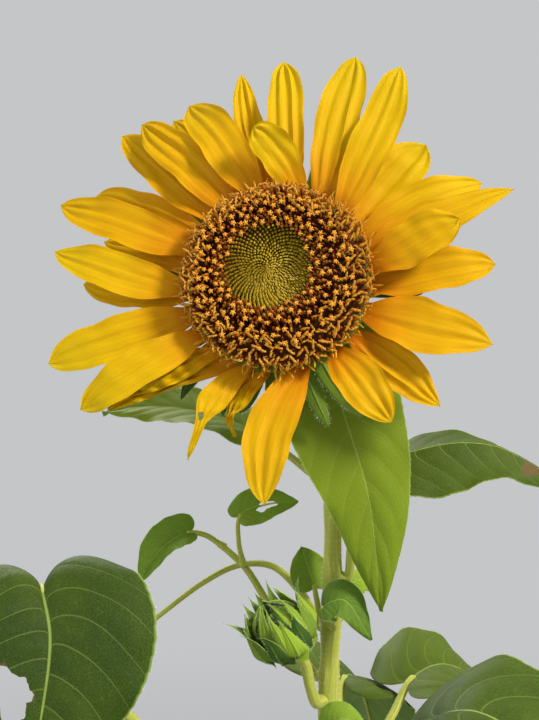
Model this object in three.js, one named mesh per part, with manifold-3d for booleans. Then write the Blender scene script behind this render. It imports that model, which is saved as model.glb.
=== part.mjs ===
// A sunflower plant in flower, in millimetres, +Z up, its stem cut flat at the ground at the origin.
// The flower faces -Y, a little up and a little towards -X, on a stem whose neck bends forward.
// A limb is a list of points [x, y, z, radius] with a smooth curve through them. A leaf is such a
// limb, its stalk and midrib, with a blade laid along the part of it past the leaf's base.

import * as THREE from 'three';
import { mergeVertices } from 'three/addons/utils/BufferGeometryUtils.js';
import Module from 'manifold-3d';

const wasm = await Module();
wasm.setup();

// Driving dimensions
const clear = 0.3;               // gap left where two pieces meet
const ribShare = 0.15;           // how far a leaf's stalk runs on under its blade
const headCentre = [-22, -40, 900];
const headTilt = 14;             // degrees that the flower looks up
const headTurn = 8;              // degrees that it turns towards -X
const rimRadius = 39;            // edge of the receptacle, where the petals start
const rimTop = -1.2;             // top of the receptacle, along the flower's own axis
const receptacleDepth = 22;
const neckRadius = 6.2;          // stem where it meets the receptacle
const petalThick = 0.9;
const petalGap = 0.45;           // between a petal's claw and the rim
const clawShare = 0.26;          // the claw's width as a share of the petal's
const petalRowTop = -2.2;        // height of the front row of petals at the rim
const petalRowStep = 2.1;        // each row further back lies this much lower
const bractCount = 24;
const bractLength = 29;
const bractWide = 12;
const leafCount = 9;             // large leaves below the part with the named leaves
const leafLowest = 95;
const leafHighest = 585;
const lowestLeafAt = 235;        // its direction, and each next leaf is a golden angle round
const goldenAngle = 137.5;

const green = { stem: 0xa9b548, leaf: 0x4f7a25, young: 0x86a83a, bract: 0x5d8a2b };
const yellow = { petal: 0xf7b90c, disc: 0x5a2f0c };

const radians = THREE.MathUtils.degToRad;
const up = new THREE.Vector3(0, 0, 1);

function vector([x, y, z]) {
  return new THREE.Vector3(x, y, z);
}

// Moves every vertex of a closed three.js shape to the place that the rule gives.
function bend(shape, rule) {
  const spots = shape.attributes.position;
  for (let i = 0; i < spots.count; i += 1) {
    const to = rule(spots.getX(i), spots.getY(i), spots.getZ(i));
    spots.setXYZ(i, to.x, to.y, to.z);
  }
  return shape;
}

function solid(shape) {
  shape.deleteAttribute('normal');
  shape.deleteAttribute('uv');
  const merged = mergeVertices(shape, 1e-4);
  return new wasm.Manifold(new wasm.Mesh({
    numProp: 3,
    vertProperties: new Float32Array(merged.attributes.position.array),
    triVerts: new Uint32Array(merged.index.array),
  }));
}

function named(name, body, color, roughness = 0.7) {
  const mesh = body.getMesh();
  const geometry = new THREE.BufferGeometry();
  geometry.setAttribute('position', new THREE.BufferAttribute(mesh.vertProperties, 3));
  geometry.setIndex(new THREE.BufferAttribute(mesh.triVerts, 1));
  const look = new THREE.MeshStandardMaterial({ color, roughness, metalness: 0 });
  const node = new THREE.Mesh(geometry, look);
  node.name = name;
  return node;
}

// The curve through a limb's points, with its radius between them.
function spineOf(points) {
  const line = new THREE.CatmullRomCurve3(points.map(vector), false, 'centripetal');
  const spans = points.length - 1;
  const radiusAt = (t) => {
    const span = Math.min(Math.floor(t * spans), spans - 1);
    return THREE.MathUtils.lerp(points[span][3], points[span + 1][3], t * spans - span);
  };
  return { line, spans, radiusAt };
}

// A round tapering limb along the points, as far as until; flute(t, angle) scales its radius.
function limb(points, { sides = 6, steps = 2, flute = () => 1, until = 1 } = {}) {
  const { line, spans, radiusAt } = spineOf(points);
  const count = Math.round(steps * spans * until);
  const rings = [];
  let out = new THREE.Vector3(1, 0.1, 0);
  for (let i = 0; i <= count; i += 1) {
    const t = (until * i) / count;
    const ahead = line.getTangent(t);
    out = out.clone().addScaledVector(ahead, -out.dot(ahead)).normalize();
    rings.push({ t, centre: line.getPoint(t), out, beside: out.clone().cross(ahead), radius: radiusAt(t) });
  }
  return solid(bend(new THREE.CylinderGeometry(1, 1, 1, sides, count), (x, y, z) => {
    const ring = rings[Math.round((y + 0.5) * count)];
    const radius = ring.radius * flute(ring.t, Math.atan2(z, x));
    const skin = ring.centre.clone().addScaledVector(ring.out, x * radius);
    return skin.addScaledVector(ring.beside, z * radius);
  }));
}

// A sheet of even thickness; place(u, v) gives its middle and its normal, u along and v across.
// Each cell is split along the same diagonal on both sides, so that a twisted one keeps its thickness.
function sheet(place, thick, along, across) {
  const box = new THREE.BoxGeometry(2, 1, 1, across, along, 1);
  const corners = box.index.array;
  const farSide = box.groups[5];
  for (let i = farSide.start; i < farSide.start + farSide.count; i += 6) {
    const [a, b, d, , c] = corners.slice(i, i + 6);
    corners.set([a, b, c, a, c, d], i);
  }
  return solid(bend(box, (v, y, depth) => {
    const { point, normal } = place(y + 0.5, v);
    return point.addScaledVector(normal, depth * thick);
  }));
}

// Across and normal directions of a sheet that runs ahead and faces about the given way.
function faceAlong(ahead, facing) {
  const normal = facing.clone().addScaledVector(ahead, -facing.dot(ahead)).normalize();
  return { normal, side: ahead.clone().cross(normal) };
}

// Share of a leaf's half width at u: full and rounded at the base, drawn out to a point.
function leafWidth(u) {
  const base = 1 + 0.29 * Math.exp(-u / 0.05);
  return Math.max(base * Math.sqrt(u + 0.06) * (1 - u) ** 0.9 / 0.436, 0.03);
}

// How far back each half of a leaf's base reaches, across from the stalk to the margin.
function lobeRound(v) {
  return Math.sin(2.58 * v ** 0.75) ** 0.8;
}

// A leaf: points run out along the stalk and on down the midrib, and the blade starts at base.
// fold lifts both halves towards each other, lobes sweep back beside the stalk in two rounds, and
// sag drops the rim.
function leaf(points, {
  base, wide, from, to, fold = 0.25, lobes = 0.12, sag = 0.1, wave = 0.04, along = 8, across = 4,
}) {
  const { line, spans } = spineOf(points);
  const start = base / spans;
  const tAt = (u) => start + (1 - start) * u;
  const length = line.getPoint(start).distanceTo(line.getPoint(1));
  const thick = Math.max(1, length / 95);
  const bladeBody = sheet((u, v) => {
    const ahead = line.getTangent(tAt(u));
    const { normal, side } = faceAlong(ahead, vector(from).lerp(vector(to), u));
    const half = (wide / 2) * leafWidth(u);
    const reach = Math.abs(v) * half;
    const point = line.getPoint(tAt(u));
    point.addScaledVector(side, v * half);
    point.addScaledVector(ahead, -lobes * length * (1 - u) ** 3 * lobeRound(Math.abs(v)));
    point.addScaledVector(normal, fold * reach - sag * reach * Math.abs(v) * 2);
    point.addScaledVector(normal, wave * wide * v * v * Math.sin(9 * u + 2 * v));
    return { point, normal };
  }, thick, along, across);
  return bladeBody.add(limb(points, { until: tAt(ribShare) }));
}

// Main stem
const facing = new THREE.Vector3(
  -Math.sin(radians(headTurn)) * Math.cos(radians(headTilt)),
  -Math.cos(radians(headTurn)) * Math.cos(radians(headTilt)),
  Math.sin(radians(headTilt)),
);
const across = new THREE.Vector3(Math.cos(radians(headTurn)), -Math.sin(radians(headTurn)), 0);
const upward = facing.clone().cross(across);

function behindHead(depth) {
  return vector(headCentre).addScaledVector(facing, -depth);
}

const stemLine = [
  [0, 0, 0, 12.5],
  [0, 0, 14, 9.6],
  [1, 2, 60, 8.6],
  [5, 7, 150, 8.1],
  [5, 10, 250, 7.5],
  [-1, 10, 350, 6.9],
  [-5, 8, 450, 6.3],
  [-4, 4, 550, 5.6],
  [-1, 1, 640, 4.9],
  [1, 0, 710, 4.2],
  [3, 0, 772, 3.9],
  [3, 2, 830, 3.9],
  [-1, 6, 862, 4.3],
  [-9, 3, 882, 5.0],
  [...behindHead(receptacleDepth + 11), 5.8],
  [...behindHead(receptacleDepth + clear), neckRadius],
];
const stemSpine = spineOf(stemLine);

// A limb's first two points: it leaves the stem's skin square on, in a level direction in degrees.
function fromStem(height, degrees, radius) {
  let t = 0;
  while (stemSpine.line.getPoint(t).z < height) {
    t += 0.0005;
  }
  const out = new THREE.Vector3(Math.cos(radians(degrees)), Math.sin(radians(degrees)), 0);
  const skin = stemSpine.radiusAt(t) + clear;
  const foot = stemSpine.line.getPoint(t).addScaledVector(out, skin);
  return [[...foot, radius], [...foot.clone().addScaledVector(out, 1.2 * radius), radius]];
}

const group = new THREE.Group();

group.add(named('stem', limb(stemLine, {
  sides: 11,
  steps: 3,
  flute: (t, angle) => 1 + 0.1 * Math.cos(5 * angle) * Math.max(1 - t * 16, 0),
}), green.stem, 0.75));

// Flower head, in its own axes: x across, y up its face, z out of the face
const head = new THREE.Group();
head.position.copy(vector(headCentre));
head.quaternion.setFromRotationMatrix(new THREE.Matrix4().makeBasis(across, upward, facing));
group.add(head);

function polar(radius, degrees, height) {
  const angle = radians(degrees);
  return new THREE.Vector3(radius * Math.cos(angle), radius * Math.sin(angle), height);
}

function turned(profile, segments) {
  const shape = new THREE.LatheGeometry(profile.map(([r, z]) => new THREE.Vector2(r, z)), segments);
  shape.rotateX(Math.PI / 2);
  return solid(shape);
}

// Green bracts stand out behind the petals in two rows, pointed and bent back at their tips.
function bract(index) {
  const row = index % 2;
  const at = (index * 360) / bractCount;
  const start = polar(rimRadius - 5 - 5 * row, at, -8.5 - 3 * row);
  const middle = polar(rimRadius + bractLength * 0.4, at + 3 * Math.sin(index * 2.4), -12.5 - 3 * row);
  const reach = bractLength * (0.72 + 0.16 * Math.sin(index * 5.1));
  const tip = polar(rimRadius + reach, at + 6 * Math.sin(index * 1.7), -21);
  const line = new THREE.QuadraticBezierCurve3(start, middle, tip);
  return sheet((u, v) => {
    const { normal, side } = faceAlong(line.getTangent(u), up);
    const half = (bractWide / 2) * Math.max((1 - u) ** 0.75 * (0.8 + 0.6 * u), 0.05);
    const point = line.getPoint(u).addScaledVector(side, v * half);
    return { point: point.addScaledVector(normal, -0.12 * half * v * v), normal };
  }, 1, 3, 2);
}

let receptacle = turned([
  [0, -receptacleDepth],
  [neckRadius, -receptacleDepth],
  [15, -19.5],
  [26, -15.5],
  [34, -10.5],
  [rimRadius, -5.5],
  [rimRadius, rimTop],
  [0, rimTop],
], 30);
for (let i = 0; i < bractCount; i += 1) {
  receptacle = receptacle.add(bract(i));
}
head.add(named('receptacle', receptacle, green.bract, 0.7));

// The disc is low in the middle, where the florets are closed, and stands up in a ring of open ones.
head.add(named('disc', turned([
  [0, rimTop + clear],
  [rimRadius - 1.5, rimTop + clear],
  [rimRadius - 0.2, 1.5],
  [rimRadius - 1, 5],
  [34.5, 7.6],
  [29, 8.6],
  [22, 7.4],
  [17, 4.6],
  [10, 3.4],
  [0, 3],
], 32), yellow.disc, 0.85));

// Petals, anticlockwise from the flower's right. at and to are the angles where the petal starts
// and ends, reach is the tip's distance from the flower's axis, and rise is the height of the tip.
// belly is the height half way, and bow says how far the middle has turned from at to to. row 0 is
// the front row.
const petals = [
  { at: 8, to: 17, reach: 79, wide: 19, row: 0, belly: 5, rise: 7, bow: 0.8, blunt: 0.6 },
  { at: 20, to: 23, reach: 107, wide: 17, row: 1, belly: -3, rise: -8, bow: 1, blunt: -0.9 },
  { at: 30, to: 29, reach: 99, wide: 18, row: 2, belly: -7, rise: -10, bow: -3 },
  { at: 41, to: 47, reach: 90, wide: 22, row: 2, belly: -12, rise: -12, bow: 1, blunt: 1 },
  { at: 50, to: 62, reach: 107, wide: 18, row: 0, belly: 2, rise: 0, blunt: 0.6 },
  { at: 63, to: 73, reach: 106, wide: 19, row: 1, belly: 0, rise: -1, bow: 0.9, blunt: 0.8 },
  { at: 75, to: 99, reach: 64, wide: 16, row: 0, belly: 9, rise: 13, bow: 0.7, blunt: 1 },
  { at: 86, to: 91, reach: 106, wide: 16, row: 1, belly: -2, rise: -6, blunt: 1 },
  { at: 96, to: 102, reach: 104, wide: 13, row: 2, belly: -8, rise: -12, bow: 1.3 },
  { at: 105, to: 118, reach: 94, wide: 19, row: 0, belly: 3, rise: 1, blunt: 0.8 },
  { at: 113, to: 123, reach: 98, wide: 14, row: 2, belly: -10, rise: -16, blunt: 0.6 },
  { at: 122, to: 131, reach: 99, wide: 18, row: 1, belly: -1, rise: -2, blunt: 0.8 },
  { at: 133, to: 136, reach: 104, wide: 18, row: 2, belly: -7, rise: -9, blunt: 0.6 },
  { at: 147, to: 152, reach: 99, wide: 18, row: 2, belly: -11, rise: -17, blunt: 0.5 },
  { at: 159, to: 160, reach: 104, wide: 18, row: 0, belly: 2, rise: 0, blunt: 0.4 },
  { at: 168, to: 164, reach: 84, wide: 13, row: 2, belly: -8, rise: -14 },
  { at: 188, to: 179, reach: 87, wide: 15, row: 1, belly: -6, rise: -9, blunt: 0.5 },
  { at: 186, to: 172, reach: 99, wide: 18, row: 0, belly: 3, rise: 4 },
  { at: 201, to: 200, reach: 104, wide: 20, row: 1, belly: -1, rise: 1, blunt: 0.9 },
  { at: 216, to: 215, reach: 99, wide: 17, row: 0, belly: 6, rise: 6, blunt: 0.8 },
  { at: 232, to: 218, reach: 80, wide: 12, row: 1, belly: -1, rise: -3, bow: 0.9 },
  { at: 247, to: 217, reach: 90, wide: 13, row: 2, belly: -5, rise: -8, bow: 1.1 },
  { at: 254, to: 248, reach: 82, wide: 12, row: 1, belly: 2, rise: 6, bow: 2.6 },
  { at: 265, to: 253, reach: 69, wide: 10, row: 2, belly: -5, rise: -6, bow: 1.4 },
  { at: 289, to: 269, reach: 95, wide: 20, row: 0, belly: 4, rise: 4, bow: 1.25, blunt: -0.3 },
  { at: 308, to: 309, reach: 78, wide: 19, row: 0, belly: 4, rise: 3, blunt: -0.2 },
  { at: 324, to: 323, reach: 85, wide: 19, row: 2, belly: -7, rise: -12, blunt: -0.6 },
  { at: 340, to: 343, reach: 93, wide: 23, row: 1, belly: -1, rise: -2, blunt: -0.4 },
  { at: -3, to: 6, reach: 91, wide: 19, row: 2, belly: -6, rise: -6, bow: 1, blunt: 0.3 },
];

// Share of a petal's half width at u: a narrow claw, then even sides and an end that is round with
// blunt at 1 and a long point with blunt at -1.
function petalWidth(u, blunt) {
  const claw = clawShare + (1 - clawShare) * Math.sin(Math.min(u / 0.44, 1) * Math.PI / 2) ** 0.9;
  const end = Math.max((u - 0.45) / 0.55, 0);
  return Math.max(claw * (1 - end ** (2.4 + 1.2 * blunt)) ** 0.8, 0.05);
}

function petal({ at, to, reach, wide, row, belly, rise, bow = 0.5, blunt = 0 }) {
  const height = petalRowTop - petalRowStep * row;
  const start = polar(rimRadius + petalGap, at, height);
  const tip = polar(reach, to, rise);
  const length = start.distanceTo(tip);
  const middleAt = THREE.MathUtils.lerp(at, to, bow);
  const middle = polar(rimRadius + petalGap + length * 0.5, middleAt, 2 * belly - (height + rise) / 2);
  const line = new THREE.QuadraticBezierCurve3(start, middle, tip);
  const outward = polar(1, at);
  const aside = line.getTangent(0).projectOnPlane(outward).length();
  start.addScaledVector(outward, aside * clawShare * wide / 2);  // keeps the claw's corner off the rim
  return sheet((u, v) => {
    const { normal, side } = faceAlong(line.getTangent(u), up);
    const half = (wide / 2) * petalWidth(u, blunt);
    const point = line.getPoint(u).addScaledVector(side, v * half);
    return { point: point.addScaledVector(normal, 0.16 * half * v * v), normal };
  }, petalThick, 7, 4);
}

petals.forEach((row, index) => {
  const name = `petal_${String(index + 1).padStart(2, '0')}`;
  head.add(named(name, petal(row), yellow.petal, 0.55));
});

// Named leaves, top down
group.add(named('leaf_front', leaf([
  ...fromStem(768, -14, 2.2),
  [11, -5, 782, 1.9],
  [13, -8, 815, 1.7],
  [9, -10, 846, 1.6],
  [2, -15, 861, 1.5],
  [6, -24, 845, 1.3],
  [17, -26, 808, 0.9],
  [23, -22, 757, 0.5],
], { base: 5, wide: 52, from: [0, -0.8, 0.7], to: [-0.1, -1, 0.05], fold: 0.12 }), green.leaf));

group.add(named('leaf_right', leaf([
  ...fromStem(800, 20, 2.1),
  [15, 7, 811, 1.8],
  [27, 10, 819, 1.6],
  [44, 10, 825, 1.3],
  [62, 11, 828, 1.1],
  [80, 12, 826, 0.9],
  [96, 12, 818, 0.7],
  [112, 10, 806, 0.5],
], {
  base: 3, wide: 42, from: [0, -0.55, 0.83], to: [0.3, -0.5, 0.8], fold: -0.5, sag: 0, wave: 0.06,
}), green.leaf));

group.add(named('leaf_left', leaf([
  ...fromStem(812, 160, 2.0),
  [-16, 9, 822, 1.7],
  [-27, 15, 830, 1.5],
  [-45, 22, 838, 1.2],
  [-66, 26, 843, 0.9],
  [-86, 27, 844, 0.7],
  [-105, 26, 841, 0.5],
], { base: 3, wide: 42, from: [0.2, -0.35, 0.9], to: [-0.1, -0.45, 0.9], fold: 0.3 }), green.leaf));

group.add(named('leaf_heart', leaf([
  ...fromStem(655, 213, 3.2),
  [-24, -16, 664, 2.9],
  [-62, -34, 692, 2.6],
  [-100, -44, 738, 2.3],
  [-116, -46, 774, 2.1],
  [-119, -53, 781, 1.9],
  [-117, -61, 775, 1.8],
  [-112, -71, 757, 1.5],
  [-114, -79, 728, 1.1],
  [-122, -84, 688, 0.6],
], {
  base: 7, wide: 84, from: [0.1, -0.8, 0.6], to: [0.1, -1, 0.15], lobes: 0.12, sag: 0.12,
}), green.leaf));

group.add(named('leaf_back_right', leaf([
  ...fromStem(650, 84, 2.8),
  [6, 24, 676, 2.4],
  [8, 40, 698, 2.1],
  [12, 54, 708, 1.8],
  [20, 70, 702, 1.3],
  [28, 82, 676, 0.9],
  [33, 86, 634, 0.6],
], { base: 4, wide: 80, from: [0.2, -0.3, 1], to: [0.5, 0.3, 0.9], lobes: 0.2 }), green.leaf));

group.add(named('leaf_far_right', leaf([
  ...fromStem(676, 22, 2.6),
  [20, 12, 682, 2.3],
  [33, 26, 698, 2.0],
  [44, 38, 712, 1.8],
  [60, 48, 716, 1.4],
  [80, 58, 704, 1.0],
  [98, 66, 672, 0.6],
], { base: 4, wide: 62, from: [-0.2, -0.4, 1], to: [0.5, -0.1, 0.9], lobes: 0.16 }), green.leaf));

group.add(named('leaf_low_right', leaf([
  ...fromStem(632, -42, 3.1),
  [16, -18, 652, 2.7],
  [29, -33, 690, 2.3],
  [39, -43, 714, 2.0],
  [58, -55, 723, 1.6],
  [84, -70, 708, 1.1],
  [108, -82, 668, 0.6],
], { base: 4, wide: 92, from: [-0.1, -0.1, 1], to: [0.5, -0.5, 0.8], lobes: 0.22 }), green.leaf));

// Side shoot with a closed bud, low on the stem's near side
const budFoot = vector([-13, -12, 736]);
const budLean = vector([-0.5, -0.35, 0.8]).normalize();
const budSize = 34;

group.add(named('shoot_stalk', limb([
  ...fromStem(712, 225, 2.6),
  [-7.5, -8, 721, 2.5],
  [...budFoot.clone().addScaledVector(budLean, -7), 2.5],
  [...budFoot, 2.9],
], { sides: 8 }), green.young));

// A bud: a round core wrapped in pointed bracts that close over it, along +Z from its foot.
function bud(size, count, spread) {
  let body = turned([
    [0, 0],
    [0.1 * size, 0],
    [0.3 * size, 0.12 * size],
    [0.36 * size, 0.34 * size],
    [0.26 * size, 0.6 * size],
    [0, 0.7 * size],
  ], 10);
  for (let i = 0; i < count; i += 1) {
    const at = i * goldenAngle;
    const tier = i / count;
    const low = 0.1 + 0.12 * tier;
    const line = new THREE.CubicBezierCurve3(
      polar(0.1 * size, at, (low + 0.1) * size),
      polar((0.46 + spread * (1 - tier)) * size, at, (low - 0.02) * size),
      polar((0.46 + spread * (1 - tier)) * size, at + 6, (0.46 + 0.2 * tier) * size),
      polar((0.16 + 1.2 * spread * (1 - tier)) * size, at + 10, (0.78 + 0.24 * tier) * size),
    );
    body = body.add(sheet((u, v) => {
      const { normal, side } = faceAlong(line.getTangent(u), polar(1, at, 0.2));
      const half = 0.15 * size * Math.max((1 - u) ** 0.8 * (0.7 + 1.2 * u), 0.05);
      const point = line.getPoint(u).addScaledVector(side, v * half);
      return { point: point.addScaledVector(normal, -0.3 * half * v * v), normal };
    }, Math.max(0.9, size * 0.026), 3, 2));
  }
  return body.decompose().reduce((most, piece) => (piece.volume() > most.volume() ? piece : most));
}

const shootBud = named('shoot_bud', bud(budSize, 12, 0.1), green.young);
shootBud.position.copy(budFoot).addScaledVector(budLean, clear);
shootBud.quaternion.setFromUnitVectors(up, budLean);
group.add(shootBud);

group.add(named('shoot_leaf_near', leaf([
  ...fromStem(746, -85, 1.5),
  [-2, -11, 752, 1.2],
  [-2, -14, 757, 1.0],
  [7, -18, 761, 0.8],
  [19, -20, 744, 0.4],
], { base: 3, wide: 20, from: [-0.1, -0.6, 0.8], to: [0.3, -1, 0.3], fold: 0.2, along: 6 }), green.leaf));

group.add(named('shoot_leaf_round', leaf([
  ...fromStem(750, 140, 1.5),
  [-4, 8, 757, 1.3],
  [-5, 11, 762, 1.1],
  [-8, 12, 771, 0.8],
  [-11, 11, 780, 0.4],
], {
  base: 3, wide: 19, from: [0.3, -0.8, -0.4], to: [0.3, -0.9, -0.1], fold: 0.1, along: 6,
}), green.leaf));

group.add(named('shoot_leaf_pale', leaf([
  ...fromStem(748, 40, 1.5),
  [9, 9, 756, 1.3],
  [11, 12, 761, 1.1],
  [17, 15, 764, 0.8],
  [25, 16, 759, 0.4],
], {
  base: 3, wide: 16, from: [-0.2, -0.5, 0.9], to: [0.2, -0.7, 0.8], fold: 0.1, along: 6,
}), green.young));

group.add(named('shoot_leaf_low', leaf([
  ...fromStem(690, -100, 1.6),
  [-1, -10, 696, 1.3],
  [0, -14, 703, 1.1],
  [6, -18, 709, 0.8],
  [17, -19, 706, 0.4],
], {
  base: 3, wide: 17, from: [-0.1, -0.8, 0.6], to: [0.1, -1, 0.4], fold: 0.2, along: 6,
}), green.young));

// Thin branch that arches up and to the left, with a nodding leaf and an upright one
group.add(named('branch_left', limb([
  ...fromStem(722, 148, 2.2),
  [-16, 12, 738, 1.9],
  [-27, 16, 754, 1.7],
  [-37, 19, 769, 1.6],
  [-48, 21, 779, 1.5],
], { sides: 8, steps: 4 }), green.young));

group.add(named('branch_leaf_end', leaf([
  [-48.3, 21.1, 779.2, 1.4],
  [-56, 21, 784, 1.3],
  [-64, 20, 785, 1.2],
  [-75, 18, 779, 0.9],
  [-87, 16, 761, 0.4],
], {
  base: 2, wide: 20, from: [0.1, -0.7, 0.7], to: [-0.4, -0.7, 0.7], fold: 0.7, along: 6,
}), green.leaf));

group.add(named('branch_leaf_up', leaf([
  [-38.2, 17, 772.3, 1.3],
  [-40, 16, 782, 1.1],
  [-39, 16, 794, 1.0],
  [-27, 17, 799, 0.8],
  [-12, 18, 800, 0.4],
], { base: 2, wide: 18, from: [-0.1, -0.9, 0.5], to: [0, -0.9, 0.4], fold: 0.1, along: 6 }), green.leaf));

group.add(named('leaf_left_low', leaf([
  ...fromStem(744, 128, 2.2),
  [-10, 20, 756, 1.9],
  [-24, 28, 768, 1.7],
  [-40, 32, 768, 1.6],
  [-56, 35, 760, 1.5],
  [-76, 37, 745, 1.3],
  [-94, 39, 730, 1.2],
  [-112, 42, 716, 1.0],
  [-128, 44, 690, 0.8],
  [-136, 44, 652, 0.5],
], { base: 7, wide: 56, from: [-0.3, -0.2, 1], to: [-0.9, -0.4, 0.4], lobes: 0.16 }), green.leaf));

// A steady number between -1 and 1 for each leaf and each use, so that no two leaves are alike.
function vary(index, use) {
  return Math.sin(index * 12.99 + use * 78.23);
}

// Large leaves up the lower stem, by the golden angle, smaller and shorter stalked towards the top
for (let i = 0; i < leafCount; i += 1) {
  const share = i / (leafCount - 1);
  const height = THREE.MathUtils.lerp(leafLowest, leafHighest, share);
  const at = lowestLeafAt + i * goldenAngle;
  const stalk = THREE.MathUtils.lerp(92, 84, share) + 8 * vary(i, 1);
  const size = 168 - 26 * share - 34 * (1 - share) ** 4 + 8 * vary(i, 2);
  const rise = THREE.MathUtils.lerp(0.34, 0.62, share) + 0.08 * vary(i, 3);
  const droop = 1 + 0.3 * vary(i, 4);
  const out = polar(1, at, 0);
  const aside = polar(0.12 * vary(i, 5), at + 90, 0);
  const [foot, square] = fromStem(height, at, THREE.MathUtils.lerp(4.2, 3.4, share));
  const reachTo = (run, lift, radius) => [
    foot[0] + out.x * run + (aside.x * run * run) / size,
    foot[1] + out.y * run + (aside.y * run * run) / size,
    foot[2] + lift,
    radius,
  ];
  const spine = [
    foot,
    square,
    reachTo(0.3 * stalk, 0.24 * rise * stalk, 3.3),
    reachTo(0.64 * stalk, 0.74 * rise * stalk, 2.9),
    reachTo(0.95 * stalk, 1.1 * rise * stalk, 2.6),
    reachTo(0.95 * stalk + 0.3 * size, 1.1 * rise * stalk + 0.02 * size, 2.0),
    reachTo(0.95 * stalk + 0.64 * size, 1.1 * rise * stalk - 0.18 * droop * size, 1.3),
    reachTo(0.95 * stalk + 0.88 * size, 1.1 * rise * stalk - 0.5 * droop * size, 0.7),
  ];
  const number = String(i + 1).padStart(2, '0');
  group.add(named(`leaf_${number}`, leaf(spine, {
    base: 4,
    wide: 0.86 * size,
    from: [-0.3 * out.x, -0.3 * out.y, 1],
    to: [out.x + 3 * aside.x, out.y + 3 * aside.y, 0.6],
    lobes: 0.24,
    sag: 0.16,
  }), green.leaf));
}

export default group;
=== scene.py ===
import math

import bpy
import numpy as np
from mathutils import Matrix, Vector


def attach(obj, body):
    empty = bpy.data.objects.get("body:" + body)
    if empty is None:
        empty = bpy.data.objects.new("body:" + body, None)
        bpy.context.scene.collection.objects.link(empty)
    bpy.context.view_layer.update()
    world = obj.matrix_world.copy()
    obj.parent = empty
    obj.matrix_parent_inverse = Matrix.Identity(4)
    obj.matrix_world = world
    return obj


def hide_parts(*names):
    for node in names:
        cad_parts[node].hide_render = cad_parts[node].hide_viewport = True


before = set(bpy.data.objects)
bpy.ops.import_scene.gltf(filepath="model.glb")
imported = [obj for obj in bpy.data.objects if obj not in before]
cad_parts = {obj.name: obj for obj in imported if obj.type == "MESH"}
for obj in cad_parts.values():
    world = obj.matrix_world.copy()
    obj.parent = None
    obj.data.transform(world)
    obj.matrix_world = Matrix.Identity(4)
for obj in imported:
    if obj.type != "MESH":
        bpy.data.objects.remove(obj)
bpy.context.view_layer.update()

# All sizes are in millimetres until a mesh is made, as in the source of the solids.
mm = 0.001
flatUnit = 100.0  # one unit of the "flat" map is 100 mm of real surface
goldenAngle = 137.5
clear = 0.3  # the gap that touching solids keep
rng = np.random.default_rng(20)


# Small helpers on arrays of points
def unit(a):
    return a / np.maximum(np.linalg.norm(a, axis=-1, keepdims=True), 1e-9)


def dot(a, b):
    return np.sum(a * b, axis=-1, keepdims=True)


def blendTo(a, b, share):
    return a + (b - a) * share


def smoothStep(low, high, x):
    s = np.clip((x - low) / (high - low), 0, 1)
    return s * s * (3 - 2 * s)


# A fixed number from -1 to 1 for each piece and each use of it
def vary(index, use):
    return math.sin(index * 12.99 + use * 78.23)


def polar(radius, degrees, height=0.0):
    angle = np.radians(degrees)
    parts = np.broadcast_arrays(radius * np.cos(angle), radius * np.sin(angle), height)
    return np.stack(parts, axis=-1).astype(float)


def paired(a, b):
    return np.stack(np.broadcast_arrays(a, b), axis=-1)


# Shares along (0 to 1) and across (-1 to 1) a sheet
def grid(rows, columns):
    return np.meshgrid(np.linspace(0, 1, rows), np.linspace(-1, 1, columns), indexing="ij")


def anglesRound(sides):
    return np.linspace(-math.pi, math.pi, sides, endpoint=False)


# Normal and crosswise direction of a sheet that runs ahead and faces about the given way
def faceAlong(ahead, facing):
    normal = unit(facing - ahead * dot(ahead, facing))
    return normal, np.cross(ahead, normal)


# Place and direction at the shares u of a Bezier curve
def bezier(knots, u):
    w = u[..., None]
    while len(knots) > 2:
        knots = [blendTo(a, b, w) for a, b in zip(knots, knots[1:])]
    return blendTo(*knots, w), unit(knots[1] - knots[0])


# The smooth curve through a limb's points [x, y, z, radius], the same one that the solids follow
class Spine:
    def __init__(self, points):
        rows = np.array(points, float)
        self.spans = len(rows) - 1
        self.radii = rows[:, 3]
        spots = rows[:, :3]
        chain = np.vstack([2 * spots[0] - spots[1], spots, 2 * spots[-1] - spots[-2]])
        cubics = []
        for a, b, c, d in zip(chain, chain[1:], chain[2:], chain[3:]):
            before, here, after = (math.sqrt(np.linalg.norm(q - p)) for p, q in ((a, b), (b, c), (c, d)))
            start = ((b - a) / before - (c - a) / (before + here) + (c - b) / here) * here
            end = ((c - b) / here - (d - b) / (here + after) + (d - c) / after) * here
            cubics.append([b, start, -3 * b + 3 * c - 2 * start - end, 2 * b - 2 * c + start + end])
        self.cubics = np.array(cubics)

    def split(self, t):
        along = np.clip(np.asarray(t, float), 0, 1) * self.spans
        span = np.minimum(along.astype(int), self.spans - 1)
        return span, along - span

    def place(self, t):
        span, rest = self.split(t)
        c = self.cubics[span]
        w = rest[..., None]
        return c[..., 0, :] + w * (c[..., 1, :] + w * (c[..., 2, :] + w * c[..., 3, :]))

    def ahead(self, t):
        step = 1e-4
        t = np.asarray(t, float)
        return unit(self.place(np.minimum(t + step, 1)) - self.place(np.maximum(t - step, 0)))

    def radius(self, t):
        span, rest = self.split(t)
        return blendTo(self.radii[span], self.radii[span + 1], rest)


# A stock collects points, faces, maps and tones of many small solids for one mesh
stockLayers = ("points", "quads", "tris", "share", "flat", "tone", "under", "dry")


def newStock():
    return {**{layer: [] for layer in stockLayers}, "count": 0}


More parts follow.
